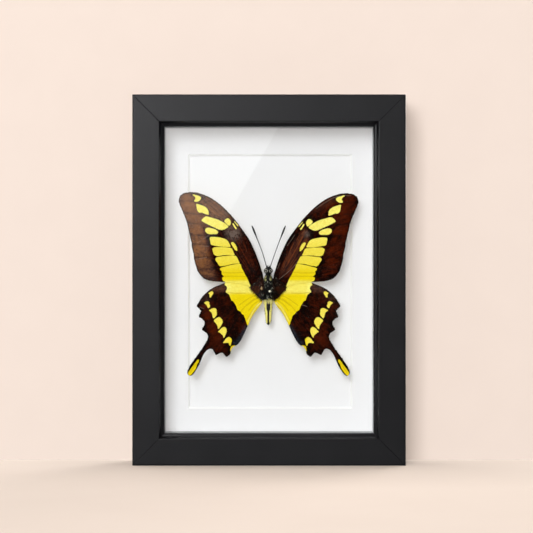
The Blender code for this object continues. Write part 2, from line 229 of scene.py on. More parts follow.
def rail_mesh(name, length):
    """One rail along local X, its outer edge at local Z 0, both ends cut at 45 degrees."""
    section = rail_section()
    eased = shrunk(section, MITRE_GROOVE)
    half = length / 2
    stations = [(-1, MITRE_PLAY, eased), (-1, MITRE_EASE, section)]
    stations += [(side, half * inset, section) for side, inset in ((-1, 0.5), (1, 1), (1, 0.5))]
    stations += [(1, MITRE_EASE, section), (1, MITRE_PLAY, eased)]
    shape = bmesh.new()
    rings = []
    for side, inset, outline in stations:
        ring = []
        for u, y in outline:
            reach = max(half - inset - u, 0) if inset < half * 0.4 else (half - inset)
            ring.append(shape.verts.new((side * reach, y, u)))
        rings.append(ring)
    count = len(section)
    for a, b in zip(rings, rings[1:]):
        for i in range(count):
            j = (i + 1) % count
            shape.faces.new((a[i], b[i], b[j], a[j]))
    shape.faces.new(reversed(rings[0]))
    shape.faces.new(rings[-1])
    bmesh.ops.recalc_face_normals(shape, faces=shape.faces)
    mesh = smooth_mesh(name, shape)
    mesh.set_sharp_from_angle(angle=SHARP_ABOVE)
    return mesh


frame_width = frame_high.x - frame_low.x
frame_height = frame_high.z - frame_low.z
rail_places = {
    "rail_bottom": (frame_width, 0, (0, 0, 0)),
    "rail_left": (frame_height, 90, (frame_low.x, 0, frame_middle.z)),
    "rail_top": (frame_width, 180, (0, 0, frame_high.z)),
    "rail_right": (frame_height, 270, (frame_high.x, 0, frame_middle.z)),
}
for name, (length, turn, spot) in rail_places.items():
    rail = bpy.data.objects.new("lacquered_" + name, rail_mesh(name, length))
    rail.rotation_euler = (0, math.radians(turn), 0)
    rail.location = spot
    dress(rail, lacquer)
    keep(rail, "black_painted_wood", name)

# ----------------------------------------------------------
# The glass: 2 mm float glass, cut and laid in the rebate. It is clear, with a faint green
# in its depth, and mirrors what stands before it.
# ----------------------------------------------------------
glass, shader, add, _ = new_material(
    "clear_float_glass",
    Base_Color="#FDFFFE",
    Roughness=0.0,
    IOR=1.5,
    Transmission_Weight=1.0,
)
path = add("LightPath")
lit_through = add("BsdfTransparent", {"Color": "#FBFCFC"})
for_lamps = add("MixShader", {0: path.outputs["Is Shadow Ray"], 1: shader, 2: lit_through})
for_bounces = add("MixShader", {0: path.outputs["Is Diffuse Ray"], 1: for_lamps, 2: lit_through})
wire(glass.node_tree.nodes["Material Output"], {"Surface": for_bounces})
dress(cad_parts["glass"], glass)

# ----------------------------------------------------------
# Spacers and mounting board: paper-faced polystyrene foam, cut with a knife. The board's
# paper is white; the strips' is painted light grey as painted shade, which dims the light
# they throw onto the mat. Both are matt, with a very slight tooth.
# ----------------------------------------------------------
FOAM_BOARDS = {
    "white_foam_board": (("mounting_board",), "#EEEEF0", "#F1F1F3"),
    # The strips' grey is painted shade: it dims the light they throw onto the mat.
    "shade_grey_foam_strip": (
        ("spacer_left", "spacer_right", "spacer_top", "spacer_bottom"), "#B2B2B4", "#B9B9BB"
    ),
}
for kind, (names, low_tone, high_tone) in FOAM_BOARDS.items():
    foam_board, shader, add, place = new_material(kind, Roughness=0.85, IOR=1.45)
    clouds = add("TexNoise", {"Vector": place, "Scale": 1 / 0.03, "Detail": 3})
    tint = add("Mix", {0: clouds, 6: low_tone, 7: high_tone}, data_type="RGBA")
    # Paper tooth is about 0.3 mm; it is drawn 1.5 mm wide so that it shows as a soft wave.
    tooth = add("TexNoise", {"Vector": place, "Scale": 1 / 0.0015, "Detail": 2})
    skin = add("Bump", {"Height": tooth, "Strength": 0.1, "Distance": 0.05 * MM})
    wire(shader, {"Base Color": tint, "Normal": skin})
    for name in names:
        dress(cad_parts[name], foam_board)

# ----------------------------------------------------------
# The mat: white-core mat board, 1.1 mm, with its window cut at 45 degrees. The cut shows
# a brighter, smoother core than the face paper.
# ----------------------------------------------------------
mat_board, shader, add, place = new_material("white_core_mat_board", Roughness=0.9, IOR=1.45)
solid = add("NewGeometry")
facing = add("SeparateXYZ", {0: solid.outputs["True Normal"]})
towards_front = add("MapRange", {"Value": facing.outputs["Y"], "From Min": -0.8, "From Max": -0.9})
fibres = add("TexNoise", {"Vector": place, "Scale": 1 / 0.002, "Detail": 3})
paper = add("Mix", {0: fibres, 6: "#ECECEE", 7: "#EFEFF1"}, data_type="RGBA")
core_or_face = add("Mix", {0: towards_front, 6: "#FDFDFD", 7: paper}, data_type="RGBA")
skin = add("Bump", {"Height": fibres, "Strength": 0.1, "Distance": 0.05 * MM})
wire(shader, {"Base Color": core_or_face, "Normal": skin})
dress(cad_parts["mat"], mat_board)

# ----------------------------------------------------------
# The backing board: 2.5 mm hardboard, wood fibre pressed wet and hot. Its smooth face is
# brown, with darker fibre bundles and a dull shine.
# ----------------------------------------------------------
hardboard, shader, add, place = new_material("pressed_hardboard", IOR=1.5)
clouds = add("TexNoise", {"Vector": place, "Scale": 1 / 0.018, "Detail": 5})
# Fibre bundles about 0.5 mm wide and 4 mm long, laid at all angles by a swirling noise.
swirl = add("TexNoise", {"Vector": place, "Scale": 1 / 0.0014, "Detail": 6, "Distortion": 2.2})
fibre_lines = add("MapRange", {"Value": swirl, "From Min": 0.42, "From Max": 0.62})
ground = add("Mix", {0: clouds, 6: "#6A4527", 7: "#82593A"}, data_type="RGBA")
flecked = add("Mix", {0: fibre_lines, 6: "#5A3820", 7: ground}, data_type="RGBA")
dull = add("MapRange", {"Value": swirl, "To Min": 0.7, "To Max": 0.5})
skin = add("Bump", {"Height": swirl, "Strength": 0.3, "Distance": 0.05 * MM})
wire(shader, {"Base Color": flecked, "Roughness": dull, "Normal": skin})
dress(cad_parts["backing_board"], hardboard)

# ----------------------------------------------------------
# Tabs, hanger and rivets: steel strip, stamped and bright zinc plated. Rolling leaves fine
# lines along the strip, and the plating has a cold, slightly cloudy shine.
# ----------------------------------------------------------
zinc, shader, add, place = new_material("bright_zinc_plated_steel", Metallic=1.0)
clouds = add("TexNoise", {"Vector": place, "Scale": 1 / 0.003, "Detail": 4})
tint = add("Mix", {0: clouds, 6: "#A9ABAC", 7: "#C9CACB"}, data_type="RGBA")
cloudy = add("MapRange", {"Value": clouds, "To Min": 0.36, "To Max": 0.55})
# Rolling lines 0.15 mm apart.
rolling = add("Mapping", {0: place, 3: (1 / 0.02, 1 / 0.00015, 1 / 0.00015)})
lines = add("TexNoise", {"Vector": rolling, "Scale": 1, "Detail": 2})
skin = add("Bump", {"Height": lines, "Strength": 0.2, "Distance": 0.01 * MM})
wire(shader, {"Base Color": tint, "Roughness": cloudy, "Normal": skin})
for name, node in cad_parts.items():
    if name.startswith(("tab_", "rivet_")) or name == "hanger":
        dress(node, zinc)

# ----------------------------------------------------------
# The insect pin: a black enamelled spring steel shaft with a round cream nylon head. It
# passes through the thorax, right of the midline, into the mounting board.
# ----------------------------------------------------------
pin_low, pin_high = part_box("insect_pin")
HEAD_PROPORTION = 0.95
head_end = pin_low.y + (pin_high.x - pin_low.x) * HEAD_PROPORTION
pin_finish, shader, add, place = new_material("nylon_headed_steel_pin", IOR=1.5)
depth = add("SeparateXYZ", {0: place})
on_shaft = add("Math", {0: depth.outputs["Y"], 1: head_end}, operation="GREATER_THAN")
mottle = add("TexNoise", {"Vector": place, "Scale": 1 / 0.0006})
nylon = add("Mix", {0: mottle, 6: "#FFFFF0", 7: "#FFF9D8"}, data_type="RGBA")
tint = add("Mix", {0: on_shaft, 6: nylon, 7: "#15151A"}, data_type="RGBA")
polish = add("MapRange", {"Value": mottle, "To Min": 0.22, "To Max": 0.36})
wire(shader, {"Base Color": tint, "Roughness": polish})
dress(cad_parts["insect_pin"], pin_finish)

# ----------------------------------------------------------
# The wings: four dried membranes on stiff veins, covered with dust-fine scales that carry
# all the colour. The setter spread them flat, with the forewings over the hindwings.
# ----------------------------------------------------------
# Outlines and markings are in mm from the body's midline and the frame's middle, outward
# and upward, for the left side. The right side is their mirror.
body_low, body_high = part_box("butterfly_body")
midline = (body_low.x + body_high.x) / 2
forewing_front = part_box("forewing_left")[0].y
hindwing_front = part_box("hindwing_left")[0].y
GRID = 0.36
ROW_SHARE = 0.87
GRID_JITTER = 0.06
VEIN_CLEARANCE = 0.33
MEMBRANE = 0.14
FRAY = 0.09
VEIN_HALF_WIDTH = 0.2
VEIN_HEIGHT = 0.09
FOLD_HALF_WIDTH = 0.3
FOLD_DEPTH = 0.07
WAVE_HEIGHT = 0.16
WAVES_PER_RADIAN = 26
CAMBER = 2.4
WING_ROOT_SPOT = (3, -4)

FOREWING = [
    (2.8, -5.7), (2.7, 1.6), (3.6, 5.2), (5.3, 10.4), (7.4, 15.6), (10.2, 21.3), (14.2, 27),
    (17.9, 31.8), (22.5, 36.8), (27.7, 41.1), (32.9, 43.8), (37.1, 45.1), (40.7, 45.3),
    (43.9, 44.8), (45.8, 43), (46.3, 40.7), (45.7, 38.4), (43.4, 33.3), (41.9, 29),
    (40.7, 23.3), (39.7, 19.4), (39.6, 17.4), (38.5, 12.7), (38.4, 10.6), (36.9, 5.5),
    (35.1, 2.4), (32.7, 0.3), (28.8, -0.7), (23.1, -1.2), (15.8, -1.9), (9.6, -3.6),
]
FOREWING_GOLD = {
    "apex": [
        (39.5, 44.1), (38.7, 44.2), (37.7, 43.9), (36.5, 43.6), (35.3, 43.1), (34.7, 42.3),
        (35.2, 41.3), (36.1, 40.6), (37.3, 40.3), (38.3, 40.6), (38.2, 41.3), (37.7, 41.8),
        (37.9, 42.7), (38.6, 43.4), (39.1, 43.8),
    ],
    "second": [
        (37.3, 39.2), (36.4, 39.2), (35.1, 38.8), (33.7, 38.3), (32.4, 37.6), (31.4, 36.5),
        (30.9, 35.2), (30.9, 33.6), (31.7, 33.8), (32.9, 34.1), (34.2, 34.7), (35.5, 34.7),
        (36.6, 35.6), (37, 36.9), (37.2, 38.2),
    ],
    "third": [
        (34.6, 30.8), (33.9, 31.7), (33, 32.5), (32, 32.8), (30.5, 32.5), (28.5, 31.9),
        (26.4, 31.3), (24.6, 30.5), (23, 29.6), (21.7, 28.7), (20.7, 27.5), (21.7, 26.6),
        (23, 26), (24.3, 25.8), (25.9, 26.2), (27.9, 27.1), (30.3, 28.2), (32.4, 29.2),
        (33.9, 30.1),
    ],
    "fourth": [
        (32.7, 25.8), (32.2, 26.6), (31.3, 27), (30, 26.9), (28.5, 26.5), (26.9, 25.8),
        (26, 24.8), (26.3, 24), (27.2, 23.6), (28.7, 23.6), (30.3, 23.6), (31.6, 24),
        (32.4, 24.8),
    ],
    "beside_cell": [
        (22.8, 30.4), (22.2, 31.3), (21.1, 31.9), (20.2, 31.5), (19.5, 30.5), (19.4, 29.5),
        (19.8, 28.4), (20.4, 28), (21.3, 28.6), (22.2, 29.5),
    ],
    "outer_streak": [
        (18.6, 29.2), (18.1, 29.3), (17.6, 28.7), (16.9, 27.5), (16.3, 26.7), (16.6, 26.2),
        (17.2, 26.6), (17.8, 27.5), (18.3, 28.4),
    ],
    "costal_streak": [
        (17.8, 30.5), (17.2, 30.1), (16.4, 29.2), (15.6, 28.3), (15.5, 27.5), (16.1, 28),
        (16.9, 29.1), (17.6, 29.9),
    ],
    "cell_end": [
        (19.3, 19.2), (18.6, 19.6), (17.6, 19), (16.8, 17.8), (16.3, 16.8), (16.1, 15.2),
        (16.4, 14.9), (17.3, 15.6), (18.3, 17), (19, 18.3),
    ],
    "band_high": [
        (30.3, 21.8), (29, 22.2), (26.4, 22.1), (23.8, 21.6), (22, 21), (20.8, 19.9),
        (19.9, 18.2), (19.6, 17.1), (20.7, 17), (23.3, 17.1), (25.9, 17.4), (28.2, 17.8),
        (29.6, 18.2), (30, 19.6),
    ],
    "band_upper": [
        (29, 15.9), (28.5, 16.5), (27.4, 16.9), (24.6, 16.9), (22, 16.7), (19.4, 16.5),
        (18.5, 15.5), (18, 14.2), (17.4, 12.9), (18.6, 12.7), (20.7, 12.8), (23.3, 12.7),
        (25.9, 12.3), (27.2, 12.5), (28.2, 13.3), (28.7, 14.7),
    ],
    "band_middle": [
        (27.4, 10.8), (26.9, 11.6), (25.3, 12), (22.8, 12.3), (19.9, 12.5), (17, 12.4),
        (16.1, 11.3), (15.5, 10), (14.9, 8.6), (16.5, 8.5), (18.9, 8.2), (21.5, 7.5),
        (23.5, 7.2), (24.8, 7), (25.7, 7.7), (26.5, 9), (27.2, 10),
    ],
    "band_low": [
        (25, 5.9), (24.1, 6.5), (22, 7), (19.4, 7.7), (16.8, 8.2), (14.6, 8.2), (13.8, 6.1),
        (12.9, 4.6), (11.9, 2.5), (10.9, 0.7), (10, -1.4), (9.3, -4), (12.2, -5.2), (21, -4.1),
        (22.2, -1.3), (23.3, -0.6), (23.8, 0.2), (23.8, 1.2), (23, 1.8), (23.8, 2.5),
        (24.3, 3.5), (24.1, 4.3), (24.8, 5.1),
    ],
}
FOREWING_CELL = [
    (4, -3), (5.5, 3.5), (7.8, 10), (11, 17), (15, 23), (19, 26.6), (20.6, 22.5), (19.6, 17),
    (17.3, 12.6), (14.9, 8.5), (12, 3), (9, -4),
]
FOREWING_VEINS = [
    [(3.2, -1), (5.6, 7), (9.4, 15), (13.6, 22), (16.4, 26.2), (21.3, 32.5), (27, 38), (34, 43)],
    [(3.4, -2), (7.8, 10), (11, 17), (15, 23), (19, 26.6)],
    [(13.6, 21), (15.6, 26.8), (19, 31.6), (22.6, 36)],
    [(17, 25), (19.4, 29), (25, 34), (33, 41), (39.5, 44.8)],
    [(19, 26.6), (23.6, 31.6), (30, 34.6), (37, 39.9), (45.6, 41)],
    [(19, 26.6), (24, 30.4), (30.6, 33.3), (37, 33.8), (44, 35)],
    [(20.6, 22.5), (25.6, 25.4), (33, 28.4), (42, 29.4)],
    [(20.4, 20.6), (25, 22.6), (31, 23), (40.6, 23.2)],
    [(19.6, 17), (25, 17.4), (30, 18), (39.7, 18.6)],
    [(17.3, 12.6), (23, 12.4), (29, 12), (38.6, 11.6)],
    [(14.9, 8.5), (21, 7.7), (25.3, 6.5), (37.2, 5.2)],
    [(19, 26.6), (20.2, 24), (20.6, 22.5), (20.4, 20.6), (19.6, 17), (17.3, 12.6), (14.9, 8.5),
     (12, 3), (9, -4)],
    [(3.6, -5.4), (9.6, -2.4), (16, -0.6), (24, 0.6), (33, 1)],
]
FOREWING_FOLDS = [
    [(12.4, 3.9), (18, 3.6), (24.4, 3.7)],
    [(11.6, 1.7), (18, 1.9), (24, 1.8)],
]
# Pale lines over the ground: on the left forewing, scratches where scales have come off; on the right
# forewing, along its costa and across its cell, painted glints.
WORN_AND_GLINT_LINES = {
    "forewing_left": [
        [(31, 22.8), (34, 20.9)], [(35, 20.2), (36.8, 19.2)], [(31, 17.4), (36, 17.5)],
        [(31.9, 11.7), (36, 10.9), (37.6, 10.6)],
    ],
    "forewing_right": [
        [(17, 11.8), (11.4, 5.2), (5.5, 0.3)], [(9.8, 17.9), (13.6, 23.6)],
        [(24.4, 37.2), (30.6, 41.4), (36.4, 43.9), (42.6, 44.1)], [(4.7, 5.7), (6, 9)],
    ],
    "hindwing_left": [[(14.6, -15.6), (12.6, -17.6)], [(35.6, -14), (33.4, -15)]],
    "hindwing_right": [[(14.6, -12.2), (20, -13.8)], [(12.4, -17.8), (14.6, -17.2)]],
}
HINDWING = [
    (2.9, -4.4), (6.5, -1.8), (13.2, -0.5), (19.9, -0.8), (24.8, -2.5), (28.6, -4.1),
    (31.9, -6.4), (34.5, -9.2), (36.5, -12.3), (37, -13.6), (35.9, -14.9), (34.9, -16.2),
    (35.9, -18.3), (35.9, -19.3), (34.5, -20.1), (33, -21.9), (33.4, -23.9), (34.4, -25.6),
    (33.9, -26.3), (31.8, -27.8), (31.3, -30.1), (33.1, -33.7), (36, -37.9), (39.3, -42.5),
    (41.6, -46.6), (41.8, -48.6), (40.7, -49.6), (38.8, -48.7), (36, -44.3), (34.1, -39.9),
    (32.7, -37.5), (30.5, -35.7), (28.6, -36.4), (27.4, -38.6), (26.6, -38.9), (24.9, -37.9),
    (23.6, -37.9), (22.3, -39.3), (21.4, -39.8), (19.8, -38.4), (19.4, -36.5), (17.9, -34.4),
    (16, -33.6), (13.6, -30.2), (10.4, -23.2), (7.6, -17.8), (3.6, -12.4), (2.8, -9),
]
HINDWING_GOLD = {
    "field": [
        (22.6, -2.2), (21.7, -3.4), (21.4, -4.7), (22.1, -6.3), (20.4, -7.6), (19.5, -9.7),
        (19.1, -10.7), (18.2, -11.2), (16.7, -13.6), (15.8, -15.7), (14.5, -16.4),
        (13.6, -17.7), (12.6, -18.6), (11.6, -21.3), (10.2, -23.8), (6.9, -17.9),
        (2.9, -12.4), (2.8, -10.6), (5.1, -9.3), (7, -6.9), (9.8, -3.5), (11.6, 1), (19.9, 1),
    ],
    "first": [
        (31.1, -7), (30.7, -6.6), (29.8, -6.1), (29.1, -5.9), (28.5, -6.5), (28.7, -7.4),
        (29.2, -8.1), (29.7, -9), (30.3, -9.2), (30.5, -8.6), (30.4, -7.8), (30.7, -7.3),
    ],
    "second": [
        (33.2, -11.8), (32.4, -11.3), (31.7, -11), (31, -11.2), (30.5, -11.8), (30.6, -12.5),
        (30.1, -13.3), (30.3, -14), (30.8, -14.6), (31.4, -14.5), (31.7, -13.8), (32, -13.1),
        (32.5, -12.6), (33, -12.2),
    ],
    "third": [
        (30.7, -15.8), (29.9, -15.3), (29.1, -14.8), (28.1, -14.6), (27.2, -14.9),
        (26.8, -15.6), (26.8, -16.5), (26.6, -17.3), (26.8, -18.3), (27.4, -19.1),
        (28.2, -19.9), (28.7, -19.4), (29, -18.5), (29.1, -17.7), (29.5, -17), (30, -16.4),
    ],
    "fourth": [
        (28.2, -21), (27.5, -20.3), (26.6, -19.6), (25.5, -19.3), (24.7, -19.7), (24, -20.6),
        (23.6, -21.6), (23.9, -22.7), (24.5, -23.8), (25.2, -24.8), (25.9, -25.5), (26.2, -25),
        (26.3, -24.1), (26.8, -23.1), (27.4, -22.3), (28, -21.6),
    ],
    "fifth": [
        (26, -26.9), (25.3, -26.1), (24.4, -25.1), (23.4, -24.5), (22.7, -24.4), (22, -24.9),
        (21.6, -25.8), (21.6, -26.9), (22, -28.1), (22.5, -29.3), (23, -30.2), (23.3, -29.8),
        (23.5, -28.9), (24.2, -28.2), (24.8, -27.7), (25.2, -27.3),
    ],
    "sixth": [
        (23.4, -32.3), (22.7, -31.5), (21.9, -30.4), (20.9, -29.7), (20.2, -29.6),
        (19.4, -30.2), (18.9, -31.1), (19.1, -32.3), (19.4, -33.5), (19.8, -34.2),
        (20.2, -33.7), (20.5, -32.9), (21.3, -32.6), (22.2, -32.6), (23.1, -32.8),
    ],
    "anal": [(19.7, -37), (19.5, -35.3), (18.9, -34.2), (17, -34), (18.1, -35.6)],
    "tail": [
        (36.2, -41.1), (35.9, -42), (36.2, -42.8), (36.9, -43.7), (37.1, -44.7), (37.7, -46.1),
        (38.7, -47.5), (39.7, -48.8), (40.6, -49.5), (41.3, -49.3), (41.5, -48.5),
        (41.3, -47.7), (40.6, -46.6), (39.7, -45.4), (38.7, -44.2), (37.8, -42.8),
        (37.1, -41.8),
    ],
}
HINDWING_VEINS = [
    [(3.4, -6), (10, -3.4), (18, -3.2), (26, -4.6), (32, -6.6)],
    [(10, -5.4), (18, -6.6), (25, -8.3), (31, -9.8), (36.7, -13.4)],
    [(14.6, -9), (21, -11.4), (27, -13.7), (31, -15.2), (35.7, -18.8)],
    [(15.3, -11.6), (20.6, -14.6), (25.4, -18.3), (29.2, -20.4), (34.2, -25.4)],
    [(14.8, -13.4), (19.2, -17.6), (23, -22.4), (27, -27), (31.6, -33), (36.6, -40.5), (40.4, -48)],
    [(12.6, -15.2), (16.4, -20.6), (19.6, -25.6), (22.8, -30.4), (27, -38.6)],
    [(9.6, -14.6), (12.2, -20.6), (15.6, -26.8), (19, -31.5), (21.6, -39.4)],
    [(3.6, -7.4), (9, -6), (14.6, -9), (15.3, -11.6), (14.8, -13.4), (12.6, -15.2), (9.6, -14.6),
     (6, -11.4), (3.6, -9)],
]
HINDWING_FOLDS = [
    [(36.4, -42), (38.2, -45), (40.6, -48.4)],
    [(36.9, -42.6), (39.2, -45.6), (40.9, -47.6)],
    [(11.2, -13.4), (7.5, -10.6), (4.6, -9.1)],
    [(10.2, -16), (8, -13), (5, -10.8)],
    [(11, -20.8), (8.6, -16.6), (6.4, -13.6), (4.2, -11.4)],
    [(10, -21.6), (7.6, -17), (4.4, -12.8)],
    [(12, -6.9), (17, -7), (21.4, -6.5)],
    [(15.2, -13.2), (10.4, -9.8), (6.4, -7.9)],
    [(15.6, -18.2), (11.4, -13.2), (7.2, -9.8)],
]
HINDWING_STRIPE = [(10.4, -21.4), (8.2, -16.8), (6.1, -13.6), (4, -12)]
HINDWING_BLUE = [(11.6, -24.6), (13.4, -28), (15.4, -31.6), (17.2, -32.6)]


def flowing(points, spacing, closed=True):
    """Points at an even spacing along a smooth curve through the given ones."""
    ring = [Vector(p) for p in points]
    count = len(ring)
    found = []
    for i in range(count if closed else count - 1):
        a, b = ring[i], ring[(i + 1) % count]
        before = ring[i - 1] if closed or i else 2 * a - b
        after = ring[(i + 2) % count] if closed or i + 2 < count else 2 * b - a
        steps = max(1, round((b - a).length / spacing))
        for step in range(steps):
            t = step / steps
            found.append(
                0.5
                * (
                    2 * a
                    + (b - before) * t
                    + (2 * before - 5 * a + 4 * b - after) * t * t
                    + (3 * a - before - 3 * b + after) * t * t * t
                )
            )
    if not closed:
        found.append(ring[-1])
    return np.array([tuple(p) for p in found])


def distance(points, path, closed=False):
    """How far each point lies from a path of straight links."""
    ends = np.roll(path, -1, axis=0) if closed else path[1:]
    starts = path if closed else path[:-1]
    nearest = np.full(len(points), np.inf)
    for a, b in zip(starts, ends):
        link = b - a
        t = np.clip(((points - a) @ link) / max(link @ link, 1e-12), 0, 1)
        offset = points - a - t[:, None] * link
        nearest = np.minimum(nearest, np.hypot(offset[:, 0], offset[:, 1]))
    return nearest


def within(points, ring):
    """Whether each point lies inside a closed ring."""
    inside = np.zeros(len(points), bool)
    x, y = points.T
    for (ax, ay), (bx, by) in zip(ring, np.roll(ring, -1, axis=0)):
        crosses = (ay > y) != (by > y)
        span = by - ay if by != ay else 1e-12
        inside ^= crosses & (x < (bx - ax) * (y - ay) / span + ax)
    return inside


def signed(points, ring):
    """Depth inside a closed ring, negative outside it."""
    depth = distance(points, ring, closed=True)
    return np.where(within(points, ring), depth, -depth)


def nearest_of(points, paths):
    """Distance to the nearest of several smooth open paths."""
    return np.min([distance(points, flowing(path, 0.5, closed=False)) for path in paths], axis=0)


def soft_step(value, low, high):
    """0 below low, 1 above high, and smooth between them."""
    t = np.clip((value - low) / (high - low), 0, 1)
    return t * t * (3 - 2 * t)


def wing_points(ring, veins, seed):
    """The outline, rows along every vein, and a slightly uneven grid over the rest."""
    rng = np.random.default_rng(seed)
    rows = []
    for vein in veins:
        crest = flowing(vein, 0.3, closed=False)
        along = np.gradient(crest, axis=0)
        along /= np.linalg.norm(along, axis=1)[:, None]
        across = np.stack((-along[:, 1], along[:, 0]), axis=1)
        rows += [crest, crest + across * VEIN_HALF_WIDTH, crest - across * VEIN_HALF_WIDTH]
    rows = np.concatenate(rows)
    low, high = ring.min(axis=0), ring.max(axis=0)
    xs = np.arange(low[0], high[0], GRID)
    ys = np.arange(low[1], high[1], GRID * ROW_SHARE)
    grid = np.array([(x + GRID / 2 * (j % 2), y) for j, y in enumerate(ys) for x in xs])
    grid += rng.uniform(-GRID_JITTER, GRID_JITTER, grid.shape)
    crests = [distance(grid, flowing(vein, 0.6, closed=False)) for vein in veins]
    grid = grid[np.min(crests, axis=0) > VEIN_CLEARANCE]
    inner = np.concatenate((rows, grid))
    return inner[signed(inner, ring) > GRID * 0.4]


def wing_mesh(name, outline, veins, folds, side, height, spread, seed):
    """The wing's open upper surface, with raised veins, creased folds and a slight camber."""
    ring = flowing(outline, 0.28)
    rng = np.random.default_rng(seed + 5)
    ring += rng.normal(0, FRAY, ring.shape) * soft_step(np.hypot(*ring.T), 24, 36)[:, None]
    inner = wing_points(ring, veins, seed)
    everything = [Vector(p) for p in np.concatenate((ring, inner))]
    edge_face = [list(range(len(ring)))]
    verts, _, faces, _, _, _ = delaunay_2d_cdt(everything, [], edge_face, 1, 0.002)
    flat = np.array([tuple(v) for v in verts])
    u, v = flat.T
    vein = nearest_of(flat, veins)
    rim = distance(flat, ring, closed=True)
    reach = np.hypot(u - WING_ROOT_SPOT[0], v - WING_ROOT_SPOT[1])
    ray = np.arctan2(v - WING_ROOT_SPOT[1], u - WING_ROOT_SPOT[0])
    fold = nearest_of(flat, folds)
    raised = VEIN_HEIGHT * np.exp(-((vein / VEIN_HALF_WIDTH) ** 2))
    raised *= 1 - 0.5 * soft_step(reach, 20, 48)
    creased = FOLD_DEPTH * np.exp(-((fold / FOLD_HALF_WIDTH) ** 2))
    waves = WAVE_HEIGHT * np.sin(ray * WAVES_PER_RADIAN + 1) * soft_step(reach, 12, 36)
    camber = CAMBER * soft_step(reach, 4, 50)
    lift = raised - creased + waves + camber
    mesh = bpy.data.meshes.new(name)
    corners = np.stack((side * u * spread, -lift, v * height), axis=1) * MM
    turned = [face if side < 0 else face[::-1] for face in faces]
    mesh.from_pydata(corners.tolist(), [], turned)
    mesh.shade_smooth()
    measures = {"vein": vein, "fold": fold, "rim": rim, "ray": ray, "reach": reach}
    return mesh, flat, measures


def store(mesh, name, values):
    """Keeps one number a vertex for the material to read."""
    layer = mesh.attributes.new(name, "FLOAT", "POINT")
    layer.data.foreach_set("value", np.asarray(values, np.float32))


def gold_depth(flat, markings):
    """Depth inside the nearest yellow marking, negative outside them all."""
    rings = [flowing(points, 0.35) for points in markings.values()]
    return np.max([signed(flat, ring) for ring in rings], axis=0)


def blob(flat, centre, size):
    """1 at the centre, falling off over the given half-widths."""
    u, v = flat.T
    return np.exp(-(((u - centre[0]) / size[0]) ** 2) - ((v - centre[1]) / size[1]) ** 2)


def forewing_tones(flat, measures, lit):
    """Zones of a forewing's colour; lit is 1 for the left one, which is painted lighter, as painted
    light, and is also browner and scuffed.
    """
    u, v = flat.T
    rim, reach = measures["rim"], measures["reach"]
    cell = soft_step(signed(flat, flowing(FOREWING_CELL, 0.6)), -0.6, 1)
    outside = soft_step(u - 26 - 0.26 * (v - 8), 1, 5)
    apex = soft_step(v, 24, 31) * soft_step(u, 15, 19)
    open_field = np.maximum(outside, apex)
    base = soft_step(reach, 14, 6)
    costa = apex * soft_step(v - 0.5 * u, 22, 25)
    between = 1 - np.exp(-((measures["vein"] / 1.0) ** 2))
    halo = np.exp(-((np.minimum(measures["gold"], 0) / 0.9) ** 2))
    tone = 0.05 + open_field * (0.24 + 0.2 * between + 0.14 * soft_step(v, 20, 34))
    tone -= open_field * (0.24 * halo + 0.16 * soft_step(v, 14, 3) + 0.16 * soft_step(rim, 3, 0.3))
    tone += 0.06 * cell * soft_step(v, 2, 16) + 0.34 * blob(flat, (6.4, -5), (2.4, 1.5))
    tone += 0.12 * blob(flat, (32.6, 4.6), (1.8, 4))
    heart = cell * soft_step(rim, 1, 3) * soft_step(v, 0, 6)
    grey_place = (18.3, 24) if lit else (19.8, 24)
    # The terms with lit are painted light that makes the left wing lighter; they also give it a browner
    # ground, more grey and more bare flecks.
    return {
        "tone": np.clip(tone, 0, 1) * (0.42 + 0.58 * lit - 0.12 * apex * (1 - lit))
        + (1 - lit) * (0.1 * heart + 0.13 * cell * blob(flat, (10, 12), (3, 7)))
        + 0.04 * lit * blob(flat, (9, 15), (3, 6)),
        "red": 1 - lit * open_field * (1 - cell) * (1 - 0.6 * base) - 0.2 * costa * (1 - lit)
        - (0.1 + 0.22 * (1 - lit)) * heart,
        "streak": 0.5 + 0.6 * cell * soft_step(v, -2, 10) + (0.2 + 0.8 * (1 - lit)) * heart - 0.3 * base,
        "rim": rim - 0.5 * soft_step(v, 26, 18) * soft_step(v - 1.75 * u, -3.4, -1),
        "pale": 0.02 + 0.3 * soft_step(v, 2, 12) + 0.48 * soft_step(v, 14, 30)
        + 0.55 * soft_step(v, 0.4, -1.4),
        "blue": np.zeros(len(flat)),
        "grey": (2.4 if lit else 1.2) * blob(flat, grey_place, (3.2, 3) if lit else (1.6, 1.6))
        + 0.25 * lit * apex,
        "fleck": (soft_step(rim, 2, 0.1) * soft_step(u, 32, 38) + 0.25 * apex) * lit + 0.1,
    }


